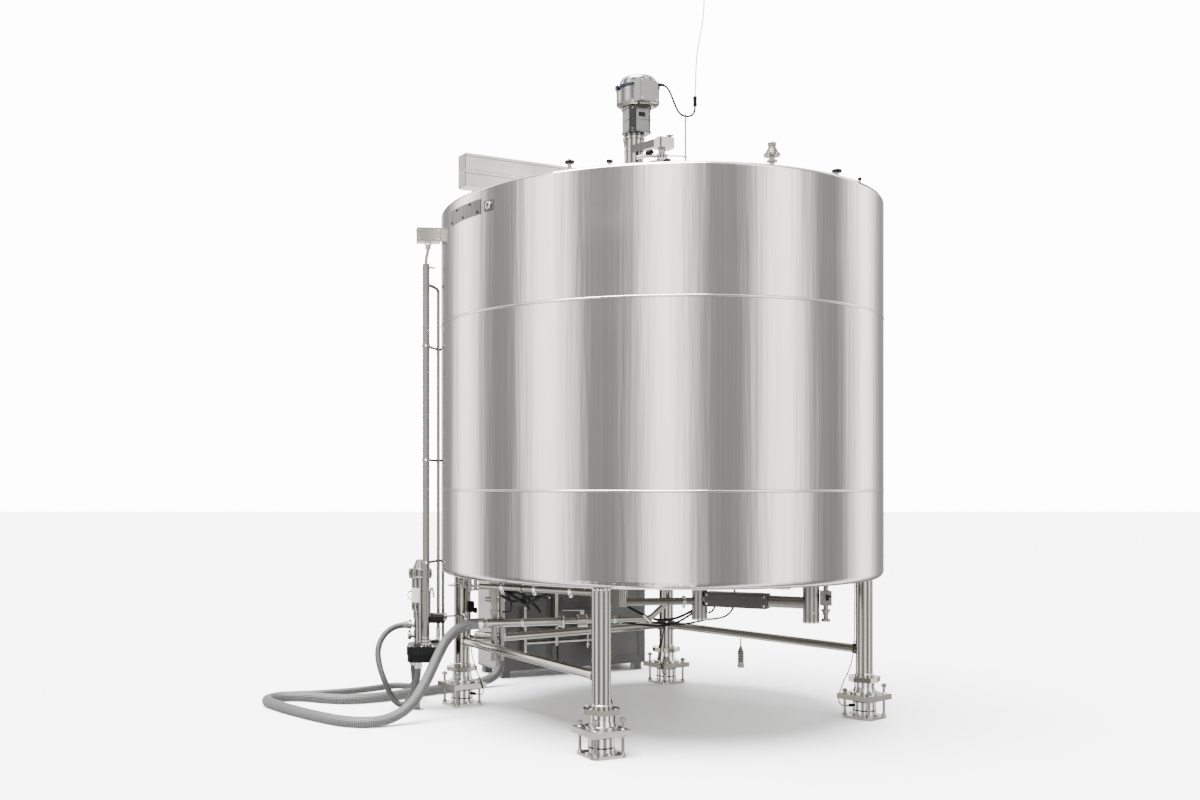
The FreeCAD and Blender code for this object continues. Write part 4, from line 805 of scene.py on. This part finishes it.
unions.clamp(outlet_from + outlet_way * 0.545, 0.03, outlet_way, (0, 0, -1))
unions.clamp((-1.055, 1.215, 0.7), 0.027, (0, 0, 1), (-1, -0.4, 0))
unions.rod((-0.105, -0.125, 0.7), (-0.06, -0.16, 0.655), 0.012)
unions.done()
valve_nuts = Piece("outlet_valve_bolts", BRIGHT, "steel")
valve_centre = outlet_from + outlet_way * (1.1989 - 0.52)
for step in range(6):
    side = outlet_way.orthogonal().normalized()
    spoke = Matrix.Rotation(math.radians(30 + 60 * step), 3, outlet_way) @ side
    valve_nuts.bolt(valve_centre + spoke * 0.037 - outlet_way * 0.0275, 0.009, 0.006, -outlet_way,
        washer=False)
    valve_nuts.bolt(valve_centre + spoke * 0.037 + outlet_way * 0.0275, 0.009, 0.006, outlet_way,
        washer=False)
valve_nuts.done()
ferrule = Piece("milk_hose_ferrule", BRIGHT, "steel")
back_along = (Vector((-1.3478, -0.0219, 0.6264)) - Vector((-1.198, -0.02, 0.631))).normalized()
ferrule.turned([(0.0366, -0.004), (0.04, -0.002), (0.0412, 0.004), (0.0412, 0.036), (0.0395, 0.044),
    (0.0366, 0.046)], (-1.198, -0.02, 0.631), back_along, 44)
ferrule.turned([(0.0366, 0), (0.04, 0.002), (0.0412, 0.008), (0.0412, 0.048), (0.0366, 0.052)],
    (-1.055, 1.215, 0.366), UP, 44)
ferrule.done()
relief = Piece("milk_hose_cuff", GREY, "grey_plastic")
relief.turned([(0.0366, 0.044), (0.0405, 0.045), (0.04, 0.052), (0.038, 0.09), (0.0366, 0.1)],
    (-1.198, -0.02, 0.631), back_along, 44)
relief.turned([(0.0216, 0), (0.0262, 0.002), (0.0262, 0.018), (0.0236, 0.04), (0.0216, 0.052)],
    (-1.731, 0.2, 0.597), (-1, 0, 0), 36)
relief.done()

# ------------------------------------------------------------ cabinet
cab_turn = about_z(23.5)


def cab(x, y, z):
    return Vector((-1.056, 1.514, 0)) + cab_turn @ Vector((x, y, z))


# The end and back panels take the lighter copy of the cabinet paint: painted light for the cabinet's lit
# sides, against the dark front.
panels = Piece("cabinet_end_panel", PAINTED_LIGHT_PANEL, "cabinet_dark")
panels.block((0.003, 0.44, 1.15), cab(-0.0022, 0.23, 0.65), turn=cab_turn, edge=0.001)
panels.block((0.003, 0.44, 1.15), cab(1.3772, 0.23, 0.65), turn=cab_turn, edge=0.001)
panels.block((1.355, 0.003, 1.15), cab(0.6875, 0.4622, 0.65), turn=cab_turn, edge=0.001)
panels.done()
front = Piece("cabinet_front_panels", CABINET, "cabinet_dark")
for x, width in ((0.215, 0.41), (0.645, 0.43)):
    front.block((width, 0.004, 1.11), cab(x, -0.0022, 0.65), turn=cab_turn, edge=0.0015)
front.block((1.36, 0.01, 0.024), cab(0.6875, -0.004, 1.226), turn=cab_turn, edge=0.002)
front.block((1.37, 0.454, 0.004), cab(0.6875, 0.23, 1.242), turn=cab_turn, edge=0.002)
for index in range(9):
    front.block((0.29, 0.01, 0.009), cab(0.675, -0.008, 0.548 + index * 0.0165), turn=cab_turn, edge=0.002)
    front.block((0.3, 0.01, 0.012), cab(0.4, 0.468, 0.96 + index * 0.024), turn=cab_turn, edge=0.002)
    front.block((0.01, 0.24, 0.012), cab(1.384, 0.23, 0.9 + index * 0.024), turn=cab_turn, edge=0.002)
front.done()
cab_steel = Piece("cabinet_fixings", BRIGHT, "steel")
for x in (0.022, 0.408, 0.446, 0.846):
    for z in (0.11, 0.65, 1.19):
        cab_steel.disc(cab(x, -0.004, z), 0.006, 0.004, cab_turn @ Vector((0, -1, 0)), 0.001, 14)
for y in (0.03, 0.43):
    for z in (0.11, 0.65, 1.19):
        cab_steel.disc(cab(-0.0036, y, z), 0.006, 0.003, cab_turn @ Vector((-1, 0, 0)), 0.001, 14)
        cab_steel.disc(cab(1.3786, y, z), 0.006, 0.003, cab_turn @ Vector((1, 0, 0)), 0.001, 14)
for x in (0.03, 0.687, 1.345):
    for z in (0.11, 0.65, 1.19):
        cab_steel.disc(cab(x, 0.4636, z), 0.006, 0.003, cab_turn @ Vector((0, 1, 0)), 0.001, 14)
cab_steel.done()
wall_pipes = Piece("cabinet_wall_pipes", STEEL, "steel")
for x, low, high, radius in ((0.491, 0.254, 0.697, 0.016), (0.204, 0.187, 0.583, 0.012),
        (0.785, 0.222, 0.408, 0.01)):
    wall_pipes.rod(cab(x, -0.045, low), cab(x, -0.045, high), radius)
    wall_pipes.disc(cab(x, -0.045, low + 0.02), radius + 0.008, 0.014)
    wall_pipes.rod(cab(x, -0.045, low + 0.06), cab(x, 0.0, low + 0.06), 0.005)
    wall_pipes.rod(cab(x, -0.045, high - 0.06), cab(x, 0.0, high - 0.06), 0.005)
wall_pipes.rod(cab(0.213, -0.045, 0.287), cab(0.833, -0.045, 0.287), 0.01)
wall_pipes.done()
chain = Piece("cabinet_cable_tail", RUBBER, "rubber_black")
chain.bent([cab(*spot) for spot in ((0.492, -0.045, 0.268), (0.498, -0.06, 0.235), (0.486, -0.064, 0.2),
                                     (0.498, -0.064, 0.165), (0.49, -0.062, 0.129))], 0.008, 10)
chain.bent([cab(*spot) for spot in ((0.206, -0.064, 0.47), (0.3, -0.07, 0.42), (0.42, -0.074, 0.412),
    (0.56, -0.072, 0.44), (0.7, -0.066, 0.408), (0.785, -0.062, 0.422))], 0.008, 10)
chain.bent([cab(*spot) for spot in ((0.206, -0.062, 0.372), (0.33, -0.07, 0.346), (0.48, -0.074, 0.362),
                                     (0.62, -0.068, 0.336), (0.785, -0.06, 0.36))], 0.006, 10)
chain.done()
handle = Piece("cabinet_latch_plate", BRIGHT, "steel", "door")
handle.block((0.04, 0.003, 0.16), cab(0.93, -0.0245, 0.64), turn=cab_turn, edge=0.001)
handle.done()
door_trim = Piece("cabinet_door_trim", CABINET, "cabinet_dark", "door")
for x in (0.905, 1.295):
    door_trim.block((0.012, 0.004, 1.06), cab(x, -0.0248, 0.65), turn=cab_turn, edge=0.0015)
for z in (0.126, 1.174):
    door_trim.block((0.402, 0.004, 0.012), cab(1.1, -0.0248, z), turn=cab_turn, edge=0.0015)
door_trim.done()

# ------------------------------------------------------------ feet and legs
LEGS = (-111.7, -5.1, 78.5, 164.7)
foot_bolts = Piece("foot_bolts", BRIGHT, "steel")
leg_marks = Piece("leg_weld_rings", BRIGHT, "steel")
cell_cables = Piece("load_cell_cables", RUBBER, "rubber_black")
seals = Piece("load_cell_seals", BLACK, "black_plastic")
for leg_angle in LEGS:
    base = polar(1.41, leg_angle)
    turn = leg_angle - 45
    for corner in (0, 90, 180, 270):
        foot_bolts.bolt(base + polar(0.093, turn + corner, 0.018), 0.022, 0.012)
        foot_bolts.bolt(base + polar(0.103, turn + 24 + corner, 0.282), 0.014, 0.009, washer=False)
        foot_bolts.rod(base + polar(0.131, turn + 45 + corner, 0.1665), base + polar(0.131,
            turn + 45 + corner, 0.1695), 0.021)
    foot_bolts.turned([(0.0965, 0.1735), (0.0995, 0.1745), (0.0995, 0.179), (0.0965, 0.18)], base, UP, 48)
    leg_marks.turned([(0.0571, 0.2985), (0.0605, 0.299), (0.059, 0.303), (0.0571, 0.305)], base, UP, 40)
    leg_marks.turned([(0.0571, 0.976), (0.06, 0.98), (0.064, 0.9885), (0.0571, 0.989)], base, UP, 40)
    leg_marks.turned([(0.0668, 0.238), (0.069, 0.239), (0.069, 0.243), (0.0668, 0.244)], base, UP, 40)
    seals.turned([(0.0765, 0.05), (0.0785, 0.051), (0.0785, 0.058), (0.0765, 0.059)], base, UP, 48)
    seals.turned([(0.0765, 0.11), (0.079, 0.111), (0.079, 0.121), (0.0765, 0.122)], base, UP, 48)
    inward = polar(1, leg_angle + 180)
    seals.rod(base + inward * 0.074 + UP * 0.082, base + inward * 0.104 + UP * 0.082, 0.011)
    side = polar(1, leg_angle + 90)
    spots = [base + inward * 0.1 + UP * 0.082, base + inward * 0.15 + UP * 0.07,
        base + inward * 0.175 + side * 0.03 + UP * 0.12, base + inward * 0.13 + side * 0.045 + UP * 0.24,
        base + inward * 0.085 + side * 0.03 + UP * 0.34, base + inward * 0.066 + side * 0.01 + UP * 0.48,
        base + inward * 0.0635 + side * 0.004 + UP * 0.7, base + inward * 0.0635 + UP * 0.98]
    cell_cables.bent(spots, 0.0042, 10)
    for level in (0.52, 0.72, 0.9):
        seals.block((0.01, 0.014, 0.006), base + inward * 0.062 + UP * level, leg_angle, edge=0.001)
foot_bolts.done()
leg_marks.done()
cell_cables.done()
seals.done()

# ------------------------------------------------------------ roof, manway and trunking
duct_turn = about_z(27.7)
ROOF_EDGE_LEVEL, ROOF_EDGE_RADIUS, ROOF_RISE, ROOF_RUN = 3.461, 1.47, 0.14, 1.21


def roof_level(radius):
    """The height of the coned roof sheet at a distance from the tank's axis."""
    return ROOF_EDGE_LEVEL + ROOF_RISE * (ROOF_EDGE_RADIUS - radius) / ROOF_RUN


def trunk(x, y, z):
    return Vector((-1.334, 0.85, 3.88)) + duct_turn @ Vector((x, y, z))


seams = Piece("trunking_seams_and_end_shade", DARK_STEEL, "steel_dull")
for level in (0.0, 0.13):
    for side in (-0.001, 0.131):
        seams.block((1.196, 0.003, 0.005), trunk(0.6, side, level + 0.104), turn=duct_turn, edge=0.0008)
    seams.block((0.004, 0.13, 0.127), trunk(0.6, 0.065, level + 0.0635), turn=duct_turn, edge=0.0005)
    # Dark plates over both end faces of each trunking: painted shade on the trunking's ends. The strips
    # along the lids and the middle joint are dark seams.
    seams.block((0.005, 0.118, 0.115), trunk(-0.0015, 0.065, level + 0.0635), turn=duct_turn, edge=0.0008)
    seams.block((0.005, 0.118, 0.115), trunk(1.2015, 0.065, level + 0.0635), turn=duct_turn, edge=0.0008)
seams.block((1.19, 0.124, 0.004), trunk(0.6, 0.065, 0.1285), turn=duct_turn, edge=0.0008)
seams.done()
screws = Piece("trunking_screws", BRIGHT, "steel")
for level in (0.0, 0.13):
    for index in range(7):
        for y, way in ((-0.0005, -1), (0.1305, 1)):
            screws.disc(trunk(0.06 + index * 0.18, y, level + 0.116), 0.0048, 0.004,
                duct_turn @ Vector((0, way, 0)), 0.001, 14)
for distance in (0.62, 0.96):
    spot = trunk(distance, 0.065, 0)
    for angle in (45, 135, 225, 315):
        screws.bolt(spot + polar(0.06, angle + 27.7, -0.006), 0.012, 0.007, (0, 0, -1))
    screws.turned([(0.019, 0.004), (0.045, 0.004), (0.046, 0.007), (0.045, 0.01), (0.022, 0.014),
        (0.019, 0.016)], Vector((spot.x, spot.y, roof_level(math.hypot(spot.x, spot.y)))), UP, 36)
screws.done()
hub = Vector((0.62, 0.42, 0))
manway = Piece("manway_clamps", BRIGHT, "steel", "manway_lid")
manway.turned([(0.05, 3.703), (0.15, 3.703), (0.158, 3.705), (0.15, 3.708), (0.05, 3.707), (0.05, 3.703)],
    hub, UP, 64)
manway.turned([(0.2455, 3.672), (0.248, 3.6735), (0.248, 3.679), (0.2455, 3.68)], hub, UP, 72)
manway.turned([(0.03, 3.7025), (0.042, 3.703), (0.042, 3.712), (0.03, 3.714), (0.01, 3.714)], hub, UP, 40)
manway.done()
wings = Piece("manway_wing_nuts", BRIGHT, "steel")
for angle in (-150, -90, -30, 30, 150):
    spot = hub + polar(0.262, angle)
    wings.rod(spot + UP * 3.65, spot + UP * 3.716, 0.006)
    wings.rod(hub + polar(0.226, angle, 3.652), hub + polar(0.27, angle, 3.652), 0.008)
    wings.disc(spot + UP * 3.701, 0.014, 0.01)
    wings.block((0.012, 0.046, 0.006), spot + UP * 3.718, angle, edge=0.002)
wings.turned([(0.2252, 3.6), (0.229, 3.601), (0.229, 3.64), (0.2252, 3.642)], hub, UP, 72)
wings.done()
roof_marks = Piece("roof_weld_seams", BRIGHT, "steel")
for angle in (10, 100, 190, 280):
    roof_marks.rod(polar(0.3, angle, 3.5965), polar(1.44, angle, 3.4655), 0.0028, 8)
roof_marks.turned([(0.257, 3.6), (0.26, 3.603), (0.263, 3.6)], Vector((0, 0, 0)), UP, 80)
roof_marks.turned([(1.429, 3.46), (1.432, 3.465), (1.435, 3.467), (1.438, 3.464), (1.44, 3.46)],
    Vector((0, 0, 0)), UP, 120)
roof_marks.done()
junction = Piece("junction_box_lid", PLATE, "steel")
box_way = about_z(8)
junction.block((0.15, 0.004, 0.078), Vector((-1.59, 0.06, 3.338)) + box_way @ Vector((0, -0.056, 0)),
    turn=box_way, edge=0.001)
junction.block((0.171, 0.116, 0.004), Vector((-1.59, 0.06, 3.3855)), turn=box_way, edge=0.001)
junction.done()
junction_screws = Piece("junction_box_screws", BRIGHT, "steel")
for x in (-0.066, 0.066):
    for z in (-0.03, 0.03):
        junction_screws.disc(Vector((-1.59, 0.06, 3.338 + z)) + box_way @ Vector((x, -0.0572, 0)), 0.005,
            0.004, box_way @ Vector((0, -1, 0)), 0.001, 14)
junction_screws.turned([(0.02, 0), (0.025, 0.001), (0.025, 0.016), (0.02, 0.018)], (-1.595, 0.06, 3.2735),
    UP, 6)
for level in (1.04, 1.76, 2.56):
    junction_screws.bolt((-1.609, 0.049, level + 0.008), 0.012, 0.007, (0, -1, 0))
    junction_screws.bolt((-1.578, 0.19, level + 0.008), 0.012, 0.007, (-0.6, -0.8, 0))
junction_screws.done()
plug = Piece("pendant_plug_grip", BLACK, "black_plastic")
for index in range(7):
    plug.band(0.0215, 0.0232, 0.007, (0.748, 0.755, 0.255 + index * 0.012), UP, 28)
plug.done()
lock = Piece("sample_valve_handle", BLACK, "black_plastic")
lock.block((0.016, 0.016, 0.03), (1.032, -0.544, 0.855), edge=0.002)
lock.block((0.018, 0.09, 0.01), (1.032, -0.575, 0.872), edge=0.003)
lock.done()

# ------------------------------------------------------------ studio
SOFT_LIGHTS = 6


def stage_floor():
    """A plain pale floor. Steel mirrors the studio's surround instead of it."""
    mesh = bpy.data.meshes.new("floor")
    mesh.from_pydata([(-60, -60, 0), (60, -60, 0), (60, 60, 0), (-60, 60, 0)], [], [(0, 1, 2, 3)])
    make = Nodes("floor_paint", (0.93, 0.93, 0.93), 0.6, Specular_IOR_Level=0.2)
    make.vary_rough(make.noise(make.position((2, 2, 2))), 0.05)
    mesh.materials.append(make.material)
    floor = bpy.data.objects.new("floor", mesh)
    floor.visible_glossy = False
    bpy.context.collection.objects.link(floor)


def studio_world():
    """A plain grey surround with evenly spaced soft lights round it, lighter overhead. The
    camera sees plain white behind the tank."""
    world = bpy.data.worlds.new("studio")
    world.use_nodes = True
    make = Tree(world.node_tree)
    make.tree.nodes.clear()
    way = make.add("ShaderNodeTexCoord").outputs["Generated"]
    x, y, z = make.add("ShaderNodeSeparateXYZ", {"Vector": way}).outputs
    azimuth = make.maths("ARCTAN2", x, make.maths("MULTIPLY", y, -1.0))
    sway = make.maths("MULTIPLY_ADD", make.noise(way, 2.2, 2), 0.16, azimuth)
    wave = make.maths("COSINE", make.maths("MULTIPLY", sway, float(SOFT_LIGHTS)))
    lights = make.maths("POWER", make.ramp(wave, -1, 1), 2.0)
    level = make.ramp(lights, 0, 1, 0.45, 4.2)
    strength = make.maths("MULTIPLY", level, make.ramp(z, -0.3, 1.0, 0.75, 1.5))
    surround = make.add("ShaderNodeBackground", {"Strength": strength})
    backdrop = make.add("ShaderNodeBackground", Strength=14.0)
    for background in (surround, backdrop):
        background.inputs["Color"].default_value = (1, 1, 1, 1)
    seen = make.add("ShaderNodeMixShader", {0: make.add("ShaderNodeLightPath").outputs["Is Camera Ray"],
        1: surround.outputs[0], 2: backdrop.outputs[0]})
    make.add("ShaderNodeOutputWorld", {0: seen.outputs[0]})
    bpy.context.scene.world = world


def soft_sun(strength, spread):
    light = bpy.data.lights.new("soft_sun", "SUN")
    light.energy = strength
    light.angle = math.radians(spread)
    item = bpy.data.objects.new("soft_sun", light)
    item.rotation_euler = Vector((0.2, 0.2, -1)).to_track_quat("-Z", "Y").to_euler()
    bpy.context.collection.objects.link(item)


stage_floor()
studio_world()
soft_sun(20, 50)
